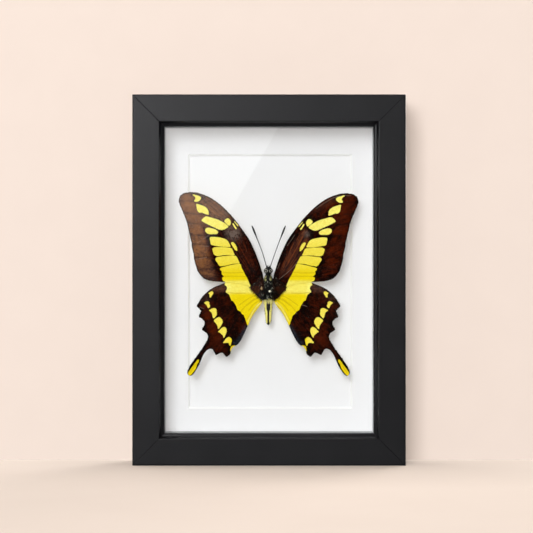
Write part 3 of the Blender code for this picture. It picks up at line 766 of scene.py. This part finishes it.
def hindwing_tones(flat, measures, lit):
    """The same for a hindwing, which is redder, with blue scaling near the inner margin."""
    u, v = flat.T
    rim = measures["rim"]
    top = soft_step(v, -8, -3.5) * soft_step(u, 20, 24)
    between = 1 - np.exp(-((measures["vein"] / 1.0) ** 2))
    halo = np.exp(-((np.minimum(measures["gold"], 0) / 0.8) ** 2))
    patch = blob(flat, (27.5, -29), (4, 7)) + (0.6 + 0.6 * lit) * blob(flat, (33, -13.5), (3.5, 5))
    patch += 0.45 * blob(flat, (15.5, -20.5), (2.5, 5)) + 0.35 * blob(flat, (22, -10), (4, 3))
    patch += (0.3 + 1.1 * lit) * blob(flat, (31.6, -20.3), (2.6, 4.5))
    tone = 0.05 + 0.16 * patch * (0.5 + 0.5 * between) + 0.23 * top
    tone *= 0.35 + 0.65 * soft_step(rim, 0.5, 2.2)
    fold_zone = soft_step(v, -8.0, -5.9) - 0.35 * soft_step(v, -3.2, -0.6)
    stripe = np.exp(-((distance(flat, flowing(HINDWING_STRIPE, 0.5, closed=False)) / 0.45) ** 2))
    blue = np.exp(-((distance(flat, flowing(HINDWING_BLUE, 0.5, closed=False)) / 1.0) ** 2))
    spots = soft_step(u, 18.5, 22) * soft_step(u, 35.5, 34)
    # The terms with lit are painted light that makes the left hindwing a little lighter.
    return {
        "tone": np.clip(tone - 0.05 * halo, 0, 1) * (0.9 + 0.1 * lit),
        "red": 1 - 0.55 * top,
        "streak": 0.3 - 0.1 * top,
        "pale": 0.02 + 0.6 * fold_zone * soft_step(u, 24, 21) + 0.6 * stripe + 0.42 * spots,
        "blue": blue,
        "grey": 0.3 * top + 0.2 * blob(flat, (33, -9), (3, 4)),
        "fleck": np.full(len(flat), 0.08),
    }


# Swallowtail wing scales: matt pigment dust over a thin glossy membrane, laid in rows like
# roof tiles. The ground is melanin brown to black, the bands a chalky sulphur yellow.
wing_scales, shader, add, place = new_material(
    "swallowtail_wing_scales", IOR=1.54, Specular_IOR_Level=0.015
)
read = {}
for name in ("gold", "vein", "fold", "rim", "ray", "reach", "tone", "red", "streak", "pale",
             "blue", "worn", "grey", "fleck"):
    read[name] = add("Attribute", attribute_name=name).outputs["Fac"]
# Real scales are 0.1 mm; they are drawn 0.25 mm across so that they show.
scales = add("TexNoise", {"Vector": place, "Scale": 1 / 0.00025, "Detail": 2, "Roughness": 0.6})
mottle = add("TexNoise", {"Vector": place, "Scale": 1 / 0.0014, "Detail": 3, "Roughness": 0.75})
patches = add("TexNoise", {"Vector": place, "Scale": 1 / 0.007, "Detail": 2})
# Streaks follow the wing's rays: 0.03 radian wide and 9 mm long.
polar = add("CombineXYZ", {0: read["ray"], 1: read["reach"]})
stretched = add("Mapping", {0: polar, 3: (1 / 0.03, 1 / 9, 1)})
streaks = add("TexNoise", {"Vector": stretched, "Scale": 1, "Detail": 3})
centred = add("Math", {0: streaks, 1: 0.5}, operation="SUBTRACT")
streaked = add("Math", {0: centred, 1: read["streak"], 2: read["tone"]}, operation="MULTIPLY_ADD")
# Bare spots where scales have rubbed off, 0.5 mm across.
bare = add("TexNoise", {"Vector": place, "Scale": 1 / 0.0005, "Detail": 2, "Roughness": 0.6})
jitter = add("Math", {0: scales, 1: 0.5, 2: read["gold"]}, operation="MULTIPLY_ADD")
# What each mask is read from, where it starts and ends, its values there, and its curve
MASKS = {
    "patchy": (patches, 0.3, 0.7, -0.16, 0.16, "LINEAR"),
    "dusted": (mottle, 0.3, 0.7, -0.26, 0.26, "LINEAR"),
    "on_vein": (read["vein"], 0.08, 0.4, 0.3, 0, "SMOOTHSTEP"),
    "on_rim": (read["rim"], 0.2, 0.75, 0.85, 0, "SMOOTHSTEP"),
    "blue_flecks": (scales, 0.5, 0.66, 0, 0.5, "LINEAR"),
    "greyed": (mottle, 0.35, 0.65, 0.1, 0.8, "LINEAR"),
    "bare_spots": (bare, 0.62, 0.74, 0, 0.9, "LINEAR"),
    "rubbed": (read["worn"], 0.05, 0.24, 0.4, 0, "LINEAR"),
    "powdery": (mottle, 0.36, 0.66, 0, 0.34, "LINEAR"),
    # Painted shade in the wing folds.
    "painted_fold_shade": (read["fold"], 0.08, 0.42, 0.42, 0, "SMOOTHSTEP"),
    "in_gold": (jitter, 0.17, 0.33, 0, 1, "SMOOTHSTEP"),
}
mask = {}
for name, (source, start, end, at_start, at_end, curve) in MASKS.items():
    span = {"From Min": start, "From Max": end, "To Min": at_start, "To Max": at_end}
    mask[name] = add("MapRange", {"Value": source, **span}, interpolation_type=curve)
# The red-black ground is calmer than the brown one.
uneven = add("Math", {0: mask["patchy"], 1: mask["dusted"]}, operation="ADD")
calm = add("MapRange", {"Value": read["red"], "To Min": 1.0, "To Max": 0.42})
toned = add("Math", {0: uneven, 1: calm, 2: streaked}, operation="MULTIPLY_ADD", use_clamp=True)
dark = add("Mix", {0: read["red"], 6: "#3A2726", 7: "#080201"}, data_type="RGBA")
warm = add("Mix", {0: read["red"], 6: "#A0683A", 7: "#822B07"}, data_type="RGBA")
ground = add("Mix", {0: toned, 6: dark, 7: warm}, data_type="RGBA")
bluing, greying, flecked = (
    add("Math", {0: mask[kind], 1: read[zone]}, operation="MULTIPLY", use_clamp=clamp)
    for kind, zone, clamp in (
        ("blue_flecks", "blue", False), ("greyed", "grey", True), ("bare_spots", "fleck", True)
    )
)
# The pale lines are scratches, and on the right forewing painted glints.
ground_layers = (
    (mask["on_vein"], "#0C0706"), (mask["on_rim"], "#100B0A"), (bluing, "#56697C"),
    (greying, "#6A5A52"), (flecked, "#B9A999"), (mask["rubbed"], "#A08C80"),
)
for share, colour in ground_layers:
    ground = add("Mix", {0: share, 6: ground, 7: colour}, data_type="RGBA")
sulphur = add("Mix", {0: read["pale"], 6: "#EED604", 7: "#FFFA8A"}, data_type="RGBA")
# Along the folds the sulphur darkens to ochre: painted shade in the creases.
for share, colour in ((mask["powdery"], "#E2C000"), (mask["painted_fold_shade"], "#B08A12")):
    sulphur = add("Mix", {0: share, 6: sulphur, 7: colour}, data_type="RGBA")
pattern = add("Mix", {0: mask["in_gold"], 6: ground, 7: sulphur}, data_type="RGBA")
matt = add("MapRange", {"Value": scales, "To Min": 0.5, "To Max": 0.8})
skin = add("Bump", {"Height": scales, "Strength": 0.35, "Distance": 0.03 * MM})
wire(shader, {"Base Color": pattern, "Roughness": matt, "Normal": skin})

# The right forewing is a little lower than the left one, and the right pair a little wider.
RIGHT_FOREWING_HEIGHT = 0.987
RIGHT_SPREAD = 1.006
wing_kinds = {
    "forewing": (
        FOREWING, FOREWING_VEINS, FOREWING_FOLDS, FOREWING_GOLD, forewing_tones, forewing_front
    ),
    "hindwing": (
        HINDWING, HINDWING_VEINS, HINDWING_FOLDS, HINDWING_GOLD, hindwing_tones, hindwing_front
    ),
}
for seed, (kind, parts) in enumerate(wing_kinds.items()):
    outline, veins, folds, markings, tones, front = parts
    for side_name, side in (("left", -1), ("right", 1)):
        name = f"{kind}_{side_name}"
        height = RIGHT_FOREWING_HEIGHT if name == "forewing_right" else 1
        spread = RIGHT_SPREAD if side > 0 else 1
        mesh, flat, measures = wing_mesh(name, outline, veins, folds, side, height, spread, seed)
        measures["gold"] = gold_depth(flat, markings)
        zones = tones(flat, measures, 1 if side < 0 else 0)
        zones["worn"] = nearest_of(flat, WORN_AND_GLINT_LINES[name])
        for label, values in {**measures, **zones}.items():
            store(mesh, label, values)
        wing = bpy.data.objects.new("scaled_" + name, mesh)
        wing.location = (midline, front, frame_middle.z)
        shell = wing.modifiers.new("membrane", "SOLIDIFY")
        shell.thickness = MEMBRANE * MM
        shell.offset = -1
        dress(wing, wing_scales)
        keep(wing, "wing_scales", name)

# ----------------------------------------------------------
# The body: head, thorax and abdomen, one hollow case of black chitin. The thorax is
# furred, and the abdomen has eight rings, yellow at the sides, with a black line on top.
# ----------------------------------------------------------
body_middle = (body_low.y + body_high.y) / 2
# (height, half-width, half-depth) in mm, from the head to the tip of the abdomen
BODY_FORM = [
    (6.7, 0.3, 0.4), (6.4, 1.2, 1.3), (5.7, 1.7, 1.8), (4.7, 1.8, 1.9), (3.7, 1.6, 1.7),
    (2.8, 1.15, 1.3), (2, 1.3, 1.5), (1, 1.85, 2.1), (-0.4, 2.3, 2.5), (-2.4, 2.5, 2.6),
    (-4.8, 2.5, 2.6), (-6.8, 2.3, 2.45), (-8.6, 1.85, 2.1), (-9.6, 1.5, 1.8), (-10.4, 1.75, 1.9),
    (-12, 2.1, 2.15), (-14.5, 2, 2.1), (-17, 1.78, 1.95), (-19.6, 1.6, 1.7), (-21.6, 1.3, 1.4),
    (-22.9, 0.8, 0.9), (-23.5, 0.15, 0.2),
]
FORM_PITCH = 0.16
ABDOMEN_TOP = -9.9
RING_LENGTH = 1.75
GROOVE_DEPTH = 0.1
GROOVE_SHARE = 0.12
LEAST_RADIUS = 0.05


def closed_tube(name, rings):
    """A smooth tube through rings of points in mm, closed at both ends."""
    shape = bmesh.new()
    rings = [[shape.verts.new(point * MM) for point in ring] for ring in rings]
    around = len(rings[0])
    for a, b in zip(rings, rings[1:]):
        for i in range(around):
            j = (i + 1) % around
            shape.faces.new((a[i], a[j], b[j], b[i]))
    shape.faces.new(rings[0])
    shape.faces.new(reversed(rings[-1]))
    bmesh.ops.recalc_face_normals(shape, faces=shape.faces)
    return smooth_mesh(name, shape)


def body_mesh(around=40):
    """Rings from the head to the tip, with a groove between the abdomen's segments."""
    turns = [2 * math.pi * i / around for i in range(around)]
    rings = []
    for height, width, depth in flowing(BODY_FORM, FORM_PITCH, closed=False):
        groove = 0
        if height < ABDOMEN_TOP:
            phase = ((ABDOMEN_TOP - height) / RING_LENGTH) % 1
            groove = GROOVE_DEPTH * math.exp(-((min(phase, 1 - phase) / GROOVE_SHARE) ** 2))
        w, d = max(width - groove, LEAST_RADIUS), max(depth - groove, LEAST_RADIUS)
        rings.append([Vector((w * math.cos(t), d * math.sin(t), height)) for t in turns])
    return closed_tube("butterfly_body", rings)


def on_body(name, mesh, finish, *replaced, slot="dark_chitin"):
    """A piece of the insect, modelled about the middle of its body."""
    piece = bpy.data.objects.new(name, mesh)
    piece.location = (midline, body_middle, frame_middle.z)
    dress(piece, finish)
    keep(piece, slot, *replaced)


# Chitin with short scales: black and slightly waxy, and on the abdomen pale sulphur scales
# outside the black line. The line narrows from 2 to 1 mm and ends in a black tip.
chitin, shader, add, place = new_material("scaled_chitin", IOR=1.56, Specular_IOR_Level=0.2)
axes = add("SeparateXYZ", {0: place})
scales = add("TexNoise", {"Vector": place, "Scale": 1 / 0.0003, "Detail": 3})
aside = add("Math", {0: axes.outputs["X"]}, operation="ABSOLUTE")
height = axes.outputs["Z"]
narrowing = {"From Min": -15.2 * MM, "From Max": -16.4 * MM, "To Min": 1 * MM, "To Max": 0.5 * MM}
line = add("MapRange", {"Value": height, **narrowing})
ending = {"From Min": -22.5 * MM, "From Max": -23.2 * MM, "To Min": 0, "To Max": 2 * MM}
tip = add("MapRange", {"Value": height, **ending})
line_end = add("Math", {0: line, 1: tip}, operation="ADD")
beside = add("Math", {0: aside, 1: line_end}, operation="SUBTRACT")
feathered = add("Math", {0: scales, 1: 0.3 * MM, 2: beside}, operation="MULTIPLY_ADD")
off_line = add("MapRange", {"Value": feathered, "From Min": 0.1 * MM, "From Max": 0.24 * MM})
on_abdomen = add("MapRange", {"Value": height, "From Min": -9.8 * MM, "From Max": -10.4 * MM})
yellow_share = add("Math", {0: off_line, 1: on_abdomen}, operation="MULTIPLY")
black = add("Mix", {0: scales, 6: "#030303", 7: "#120F0C"}, data_type="RGBA")
straw = add("Mix", {0: scales, 6: "#FBE95A", 7: "#FFFBA6"}, data_type="RGBA")
coat = add("Mix", {0: yellow_share, 6: black, 7: straw}, data_type="RGBA")
matt = add("MapRange", {"Value": scales, "To Min": 0.4, "To Max": 0.75})
skin = add("Bump", {"Height": scales, "Strength": 0.5, "Distance": 0.06 * MM})
wire(shader, {"Base Color": coat, "Roughness": matt, "Normal": skin})

on_body("chitin_body", body_mesh(), chitin, "butterfly_body")

# ----------------------------------------------------------
# The eyes: two domes of thousands of glassy facets, black-brown when dry. They grew as
# part of the head, and stand out at its sides.
# ----------------------------------------------------------
EYE_RADIUS = 1.2
EYE_SHAPE = (0.82, 1.05, 1)
EYE_APART = 1.4
EYE_FORWARD = 0.5
EYE_HEIGHT = 4.7
eye_finish, shader, add, place = new_material(
    "dried_compound_eye", IOR=1.6, Roughness=0.2, Coat_Weight=1.0, Coat_Roughness=0.12
)
# Facets are 0.03 mm; they are drawn 0.12 mm across so that they show.
facets = add("TexVoronoi", {"Vector": place, "Scale": 1 / 0.00012})
tint = add("Mix", {0: facets, 6: "#15100D", 7: "#050404"}, data_type="RGBA")
skin = add("Bump", {"Height": facets, "Strength": 0.3, "Distance": 0.02 * MM}, invert=True)
wire(shader, {"Base Color": tint, "Normal": skin})
for side_name, side in (("left", -1), ("right", 1)):
    shape = bmesh.new()
    bmesh.ops.create_uvsphere(shape, u_segments=32, v_segments=20, radius=EYE_RADIUS * MM)
    bmesh.ops.scale(shape, vec=EYE_SHAPE, verts=shape.verts)
    eye = bpy.data.objects.new(f"eye_{side_name}", smooth_mesh(f"eye_{side_name}", shape))
    eye.location = (
        midline + side * EYE_APART * MM, body_middle - EYE_FORWARD * MM,
        frame_middle.z + EYE_HEIGHT * MM,
    )
    dress(eye, eye_finish)
    keep(eye, "dark_chitin")

# ----------------------------------------------------------
# Antennae, palps, legs and the coiled tongue: thin jointed tubes of black chitin. The
# antennae end in clubs; the six legs are folded under the thorax, as they dry.
# ----------------------------------------------------------
JOINT_PINCH = 0.14


def jointed_tube(name, route, radii, pitch, around=8):
    """A tube through the route, pinched at each joint. route and radii are in mm."""
    path = flowing(route, pitch / 4, closed=False)
    share = np.linspace(0, 1, len(path))
    girth = np.interp(share, np.linspace(0, 1, len(radii)), radii)
    girth *= 1 - JOINT_PINCH * (np.arange(len(path)) % 4 == 0)
    turns = [2 * math.pi * i / around for i in range(around)]
    guide = Vector((0.3, 1, 0.1))
    rings = []
    for point, heading, size in zip(path, np.gradient(path, axis=0), girth):
        heading = Vector(heading).normalized()
        across = heading.cross(guide).normalized()
        up = across.cross(heading)
        spokes = [across * math.cos(turn) + up * math.sin(turn) for turn in turns]
        rings.append([Vector(point) + spoke * size for spoke in spokes])
    return closed_tube(name, rings)


feeler_finish, shader, add, place = new_material(
    "matt_black_feeler_chitin", IOR=1.56, Specular_IOR_Level=0.2
)
mottle = add("TexNoise", {"Vector": place, "Scale": 1 / 0.0004, "Detail": 2})
tint = add("Mix", {0: mottle, 6: "#060505", 7: "#171412"}, data_type="RGBA")
waxy = add("MapRange", {"Value": mottle, "To Min": 0.35, "To Max": 0.6})
wire(shader, {"Base Color": tint, "Roughness": waxy})

ANTENNA_RADII = [0.24, 0.2, 0.19, 0.19, 0.19, 0.19, 0.2, 0.22, 0.28, 0.46, 0.5, 0.28]
ANTENNAE = {
    "antenna_left": [(-0.8, -1, 6.2), (-3.1, -1.6, 14.3), (-5.7, -2, 21), (-8.5, -2.2, 28)],
    "antenna_right": [(0.8, -1, 6.2), (3.9, -1.6, 15), (6.7, -2, 22.5), (8.9, -2.2, 28)],
}
for name, route in ANTENNAE.items():
    feeler = jointed_tube(name, route, ANTENNA_RADII, 0.5)
    on_body("clubbed_" + name, feeler, feeler_finish, name)

LEG_RADII = [0.34, 0.3, 0.26, 0.2, 0.17, 0.14, 0.12]
LEG_ROOTS = (0.6, -2.4, -5)
for pair, root in enumerate(LEG_ROOTS):
    for side_name, side in (("left", -1), ("right", 1)):
        knee = 2.6 - 0.25 * pair
        route = [
            (side * 0.8, 1.9, root), (side * knee, 3.2, root - 1.6),
            (side * 1.7, 3.7, root - 4), (side * 0.7, 3.5, root - 5.6),
            (side * 0.9, 3.6, root - 7.2),
        ]
        name = f"leg_{side_name}_{pair + 1}"
        on_body(name, jointed_tube(name, route, LEG_RADII, 0.8), feeler_finish)

PALP_RADII = [0.36, 0.34, 0.2]
for side_name, side in (("left", -1), ("right", 1)):
    route = [(side * 0.5, 0.6, 5.6), (side * 0.55, 0.2, 6.7), (side * 0.4, -0.6, 7.3)]
    name = f"palp_{side_name}"
    on_body(name, jointed_tube(name, route, PALP_RADII, 0.5), feeler_finish)

# The tongue winds two and a quarter turns inward, from 0.95 to 0.25 mm from its middle.
COIL_STEPS = 24
COIL_TURN = 4.5 * math.pi
coil = []
for step in range(COIL_STEPS + 1):
    turn = step / COIL_STEPS * COIL_TURN
    radius = 0.95 - 0.7 * step / COIL_STEPS
    coil.append((0, 2.3 + radius * math.sin(turn), 4.6 + radius * math.cos(turn)))
on_body("coiled_tongue", jointed_tube("tongue", coil, [0.13, 0.08], 0.4, 6), feeler_finish)

# ----------------------------------------------------------
# Hair: tapered hairs 0.3 to 2 mm long that grew on the head, the thorax and the wing
# roots, black with grey-green, cream, straw, brown and tan ones. The grey-green and cream
# clumps on the thorax and the cream rings round the eyes are pale hair and also painted
# highlights, standing for glints. Each tuft is one mesh.
# ----------------------------------------------------------


def hair_mesh(name, roots, length, thickness, droop, rng):
    """Three-sided tapering hairs. roots holds (point, direction) pairs, in mm."""
    points, faces = [], []
    for point, heading in roots:
        stray = Vector([rng.gauss(0, 0.28) for _ in range(3)])
        heading = (heading + stray).normalized()
        size = length * rng.uniform(0.6, 1.25)
        across = heading.cross(Vector((0.2, 0.3, 1))).normalized()
        up = across.cross(heading)
        first = len(points)
        for step in range(4):
            share = step / 3
            centre = point + heading * size * share + droop * size * share**2
            girth = thickness * (1 - 0.88 * share)
            for turn in (0, 2.1, 4.2):
                spoke = across * math.cos(turn) + up * math.sin(turn)
                points.append((centre + spoke * girth) * MM)
        for step in range(3):
            low = first + step * 3
            for i in range(3):
                j = (i + 1) % 3
                faces.append((low + i, low + j, low + 3 + j, low + 3 + i))
        faces.append((first + 2, first + 1, first))
        faces.append((first + 9, first + 10, first + 11))
    mesh = bpy.data.meshes.new(name)
    mesh.from_pydata(points, [], faces)
    return mesh


def coat_roots(count, low, high, rng, turn_low=0.0, turn_high=2 * math.pi):
    """Random hair roots over the body's form between two heights."""
    form = flowing(BODY_FORM, FORM_PITCH, closed=False)
    rows = form[(form[:, 0] > low) & (form[:, 0] < high)]
    found = []
    for _ in range(count):
        height, width, depth = rows[rng.randrange(len(rows))]
        turn = rng.uniform(turn_low, turn_high)
        out = Vector((math.cos(turn), math.sin(turn), 0))
        point = Vector((out.x * width, out.y * depth, height + rng.uniform(-0.1, 0.1)))
        found.append((point, (out * 0.8 + Vector((0, 0, -0.75))).normalized()))
    return found


def wing_root_roots(count, region, depth, rng):
    """Random hair roots on the wings, leaning outward and down along the membrane."""
    ring = flowing(region, 0.5)
    low, high = ring.min(axis=0), ring.max(axis=0)
    found = []
    while len(found) < count:
        spot = np.array([[rng.uniform(low[0], high[0]), rng.uniform(low[1], high[1])]])
        if within(spot, ring)[0]:
            side = rng.choice((-1, 1))
            u, v = spot[0]
            found.append((Vector((side * u, depth, v)), Vector((side * 0.85, -0.16, -0.45))))
    return found


HAIR_COLOURS = {
    "black": ("#020202", "#0E0C0A"),
    "grey_green": ("#6E7262", "#BFC3B0"),
    "straw": ("#DCD06A", "#FFFBB8"),
    "brown": ("#1E0C06", "#6A3418"),
    "cream": ("#E8E0CC", "#FFFDF6"),
    "tan": ("#A8824E", "#DCC294"),
}
hair_finishes = {}
for name, (deep, light) in HAIR_COLOURS.items():
    # Setae are hollow bristles with a silky side shine.
    finish, shader, add, place = new_material(
        f"{name}_setae", Roughness=0.5, IOR=1.55, Specular_IOR_Level=0.15
    )
    mottle = add("TexNoise", {"Vector": place, "Scale": 1 / 0.0005})
    tint = add("Mix", {0: mottle, 6: deep, 7: light}, data_type="RGBA")
    wire(shader, {"Base Color": tint})
    hair_finishes[name] = finish


def eye_ring_and_glint(side, count, rng):
    """Pale hair roots round an eye's front, each hair lying along the ring; the ring is also a painted
    highlight, standing for the eye's glints.
    """
    found = []
    for _ in range(count):
        turn = rng.uniform(0, 2 * math.pi)
        spoke = Vector((math.cos(turn), 0, math.sin(turn)))
        centre = Vector((side * 1.15, -2.05, EYE_HEIGHT))
        found.append((centre + spoke * 0.62, Vector((-spoke.z, 0, spoke.x))))
    return found


def clumps(roots, hairs):
    """Several hairs from each root."""
    return [root for root in roots for _ in range(hairs)]


rng = random.Random(11)
# Turns round the body between which a tuft grows: 0 is its right side, and pi its left.
COLLAR_LEFT = (1.12 * math.pi, 1.36 * math.pi)
COLLAR_RIGHT = (1.64 * math.pi, 1.88 * math.pi)
LEFT_FLANK = (0.8 * math.pi, 1.2 * math.pi)
RIGHT_FLANK = (-0.2 * math.pi, 0.2 * math.pi)
# Outlines, in mm, of the patches of hair on the wings
WING_ROOT = [
    (2.2, -9.5), (2.4, 0.5), (4, 1.5), (6, -0.5), (9, -3.2), (7, -6.4), (5, -9), (3.6, -10.6)
]
BROWN_ROOT = [(4.2, -3.2), (6.5, -3.2), (8.6, -4), (7.4, -6.2), (5.4, -7), (4.2, -5.4)]
INNER_MARGIN = [(3.4, -12), (7.4, -17.6), (10.2, -23), (10.8, -22.6), (8, -17.2), (4.2, -11.6)]
PROUD = 0.1
wing_depth = (forewing_front - body_middle) / MM - PROUD
hindwing_depth = (hindwing_front - body_middle) / MM - PROUD
# Each tuft's colour, its roots, and its hairs' length and thickness in mm
tufts = {
    "thorax_hair": ("black", coat_roots(2400, -9.8, 2.6, rng), 1.1, 0.08),
    "left_flank_hair": ("black", coat_roots(800, -9.6, 1, rng, *LEFT_FLANK), 1.5, 0.1),
    "right_flank_hair": ("black", coat_roots(800, -9.6, 1, rng, *RIGHT_FLANK), 1.5, 0.1),
    "head_hair": ("black", coat_roots(500, 2.4, 6.6, rng), 0.5, 0.05),
    # The grey-green and cream clumps are pale hair and also painted highlights, standing for glints on
    # the black hair.
    "thorax_grey_glint_hair": ("grey_green", clumps(coat_roots(80, -9.4, 1.8, rng), 3), 0.9, 0.1),
    "thorax_cream_glint_hair": ("cream", clumps(coat_roots(36, -9.4, 1.8, rng), 4), 0.7, 0.11),
    # The cream rings are pale scales round the eyes and also painted highlights, standing for the eyes'
    # glints.
    "eye_ring_and_glint_left": ("cream", eye_ring_and_glint(-1, 26, rng), 0.45, 0.095),
    "eye_ring_and_glint_right": ("cream", eye_ring_and_glint(1, 26, rng), 0.45, 0.095),
    "collar_left": ("straw", clumps(coat_roots(12, -0.4, 2.2, rng, *COLLAR_LEFT), 5), 0.8, 0.1),
    "collar_right": ("straw", clumps(coat_roots(12, -0.4, 2.2, rng, *COLLAR_RIGHT), 5), 0.8, 0.1),
    "abdomen_hair": ("straw", coat_roots(300, -11.6, -9.6, rng), 1.5, 0.07),
    "abdomen_dark_hair": ("black", clumps(coat_roots(34, -22.5, -10.4, rng), 4), 0.5, 0.07),
    "wing_root_hair": ("brown", wing_root_roots(420, BROWN_ROOT, wing_depth, rng), 1.2, 0.1),
    "wing_root_dark_hair": ("black", wing_root_roots(800, WING_ROOT, wing_depth, rng), 1.6, 0.12),
    "wing_root_dull_hair": ("brown", wing_root_roots(160, WING_ROOT, wing_depth, rng), 1.3, 0.1),
    "wing_root_pale_hair": (
        "grey_green", clumps(wing_root_roots(26, WING_ROOT, wing_depth, rng), 4), 0.8, 0.09
    ),
    "cream_tuft": (
        "tan", clumps([(Vector((-3.5, wing_depth - 0.7, -3.5)), Vector((-0.2, -0.3, -1)))], 30),
        1.3, 0.11,
    ),
    "inner_margin_hair": (
        "straw", wing_root_roots(300, INNER_MARGIN, hindwing_depth, rng), 1.2, 0.045
    ),
}
DROOP = Vector((0, -0.05, -0.3))
for name, (colour, roots, length, thickness) in tufts.items():
    tuft = hair_mesh(name, roots, length, thickness, DROOP, rng)
    slot = "wing_scales" if colour == "straw" else "dark_chitin"
    on_body(name, tuft, hair_finishes[colour], slot=slot)

# ----------------------------------------------------------
# The stage: a pale floor that the frame stands on and a pale wall just behind it. The
# wall shows only its front, so that the frame's back can be looked at through it.
# ----------------------------------------------------------
WALL_GAP = 1 * MM
STAGE_SIZE = 6.0


def stage_panel(name, corners, finish):
    """A flat panel of the stage from its four corners."""
    mesh = bpy.data.meshes.new(name)
    mesh.from_pydata(corners, [], [(0, 1, 2, 3)])
    mesh.materials.append(finish)
    panel = bpy.data.objects.new(name, mesh)
    bpy.context.scene.collection.objects.link(panel)
    return panel


# Each paper's cloud size in metres, the clouds' detail, and its two tones
STAGE_PAPERS = {
    "cream_floor": (0.05, 3, "#EAD8C9", "#EEDDCE"),
    "cream_wall_paper": (0.02, 4, "#E2D4C9", "#E6D8CD"),
}
papers = {}
for name, (cloud_size, detail, low_tone, high_tone) in STAGE_PAPERS.items():
    paper, shader, add, place = new_material(name, Roughness=0.95, Specular_IOR_Level=0.0)
    clouds = add("TexNoise", {"Vector": place, "Scale": 1 / cloud_size, "Detail": detail})
    tint = add("Mix", {0: clouds, 6: low_tone, 7: high_tone}, data_type="RGBA")
    wire(shader, {"Base Color": tint})
    papers[name] = paper
# The wall's paper, the last one made, shows only its front.
seen = add("NewGeometry")
clear = add("BsdfTransparent")
one_sided = add("MixShader", {0: seen.outputs["Backfacing"], 1: shader, 2: clear})
wire(paper.node_tree.nodes["Material Output"], {"Surface": one_sided})

wall_y = frame_high.y + WALL_GAP
half = STAGE_SIZE / 2
wall = stage_panel(
    "wall",
    [(-half, wall_y, 0), (half, wall_y, 0), (half, wall_y, half), (-half, wall_y, half)],
    papers["cream_wall_paper"],
)
wall.visible_shadow = wall.visible_diffuse = False
floor = stage_panel(
    "floor",
    [(-half, -half, 0), (half, -half, 0), (half, half, 0), (-half, half, 0)],
    papers["cream_floor"],
)
floor.visible_diffuse = floor.visible_glossy = floor.visible_transmission = False

# ----------------------------------------------------------
# Light: two soft panels at the upper left, a small warm lamp at the front, a wide one
# overhead and a low one behind. Two more give only highlights. The glass mirrors a black
# card behind the camera, and shows its one dim pane as a pale sheen at the upper left.
# ----------------------------------------------------------
KEY_DISTANCE = 2.6
# (leftward slopes, upward slopes, watts) of the low and the high panel, from the frame
KEY_PANELS = (((0.02, 0.4), (0.1, 0.45), 37.5), ((0.02, 0.4), (0.45, 0.8), 17))
CARD_DISTANCE = 1506 * MM
COOL, WARM = "#FDFDFF", "#FFF6F1"
CARD_WIDTH, CARD_HEIGHT = 0.42, 0.56


def area_lamp(name, place, target, size, power, tint=COOL, glossy=False, diffuse=True):
    """A rectangular lamp of size (width, height) that points at a target."""
    data = bpy.data.lights.new(name, "AREA")
    data.shape = "RECTANGLE"
    data.size, data.size_y = size
    data.energy = power
    data.color = hex_colour(tint)[:3]
    lamp = bpy.data.objects.new(name, data)
    lamp.location = place
    lamp.rotation_euler = (Vector(target) - Vector(place)).to_track_quat("-Z", "Y").to_euler()
    lamp.visible_glossy, lamp.visible_diffuse = glossy, diffuse
    lamp.visible_transmission = lamp.visible_camera = False
    bpy.context.scene.collection.objects.link(lamp)


for left, rise, power in KEY_PANELS:
    key_slope = Vector((-sum(left) / 2, -1, sum(rise) / 2))
    key_place = frame_middle + key_slope * KEY_DISTANCE
    key_size = [(end - start) * KEY_DISTANCE for start, end in (left, rise)]
    area_lamp("key", key_place, key_place + Vector((0, 1, 0)), key_size, power)
fill_place = frame_middle + Vector((0, -KEY_DISTANCE, 0))
area_lamp("fill", fill_place, frame_middle, (0.21, 0.21), 35, WARM)
top_place = Vector((-0.25, 0.5, 2.5))
area_lamp("overhead", top_place, top_place - Vector((0, 0, 1)), (2.6, 1.8), 53)
area_lamp("back", (0.9, 1.5, 0.3), frame_middle, (0.8, 0.4), 26, glossy=True)
area_lamp(
    "sheen", (-0.5, -1.6, 0.5), frame_middle, (0.3, 0.3), 11.5, glossy=True, diffuse=False
)
glint_place = frame_middle + Vector((-1.1, -1.3, 1.1))
area_lamp("glint", glint_place, frame_middle, (0.4, 0.4), 30, glossy=True, diffuse=False)

card_finish, shader, add, place = new_material("black_card_with_pale_pane")
card_finish.node_tree.nodes.remove(shader)
axes = add("SeparateXYZ", {0: place})
# The pane's slanting edge, then its fading foot.
SLANT_ACROSS, SLANT_UP = 0.869, 0.495
PANE_SHIFT = 0.0151
PANE_EDGE, PANE_FOOT = (0.0823, 0.0863), (-0.02, 0.12)
PANE_GLOW = 0.75
slant_x = add(
    "Math",
    {0: axes.outputs["X"], 1: -SLANT_ACROSS, 2: SLANT_ACROSS * PANE_SHIFT},
    operation="MULTIPLY_ADD",
)
slant = add("Math", {0: axes.outputs["Z"], 1: SLANT_UP, 2: slant_x}, operation="MULTIPLY_ADD")
edge, foot = (
    add(
        "MapRange", {"Value": source, "From Min": start, "From Max": end},
        interpolation_type="SMOOTHSTEP",
    )
    for source, (start, end) in ((slant, PANE_EDGE), (axes.outputs["Z"], PANE_FOOT))
)
pane = add("Math", {0: edge, 1: foot}, operation="MULTIPLY")
glow = add("Math", {0: pane, 1: PANE_GLOW}, operation="MULTIPLY")
light = add("Emission", {"Strength": glow})
wire(card_finish.node_tree.nodes["Material Output"], {"Surface": light})
half_width, half_height = CARD_WIDTH / 2, CARD_HEIGHT / 2
card = stage_panel(
    "card",
    [
        (-half_width, 0, -half_height), (half_width, 0, -half_height),
        (half_width, 0, half_height), (-half_width, 0, half_height),
    ],
    card_finish,
)
card.location = (camera.location.x, glass_low.y - CARD_DISTANCE, camera.location.z)
card.visible_camera = card.visible_diffuse = card.visible_shadow = False

world = bpy.data.worlds.new("studio_air")
world.use_nodes = True
wire(world.node_tree.nodes["Background"], {"Color": "#FFFFFF", "Strength": 0.16})
bpy.context.scene.world = world
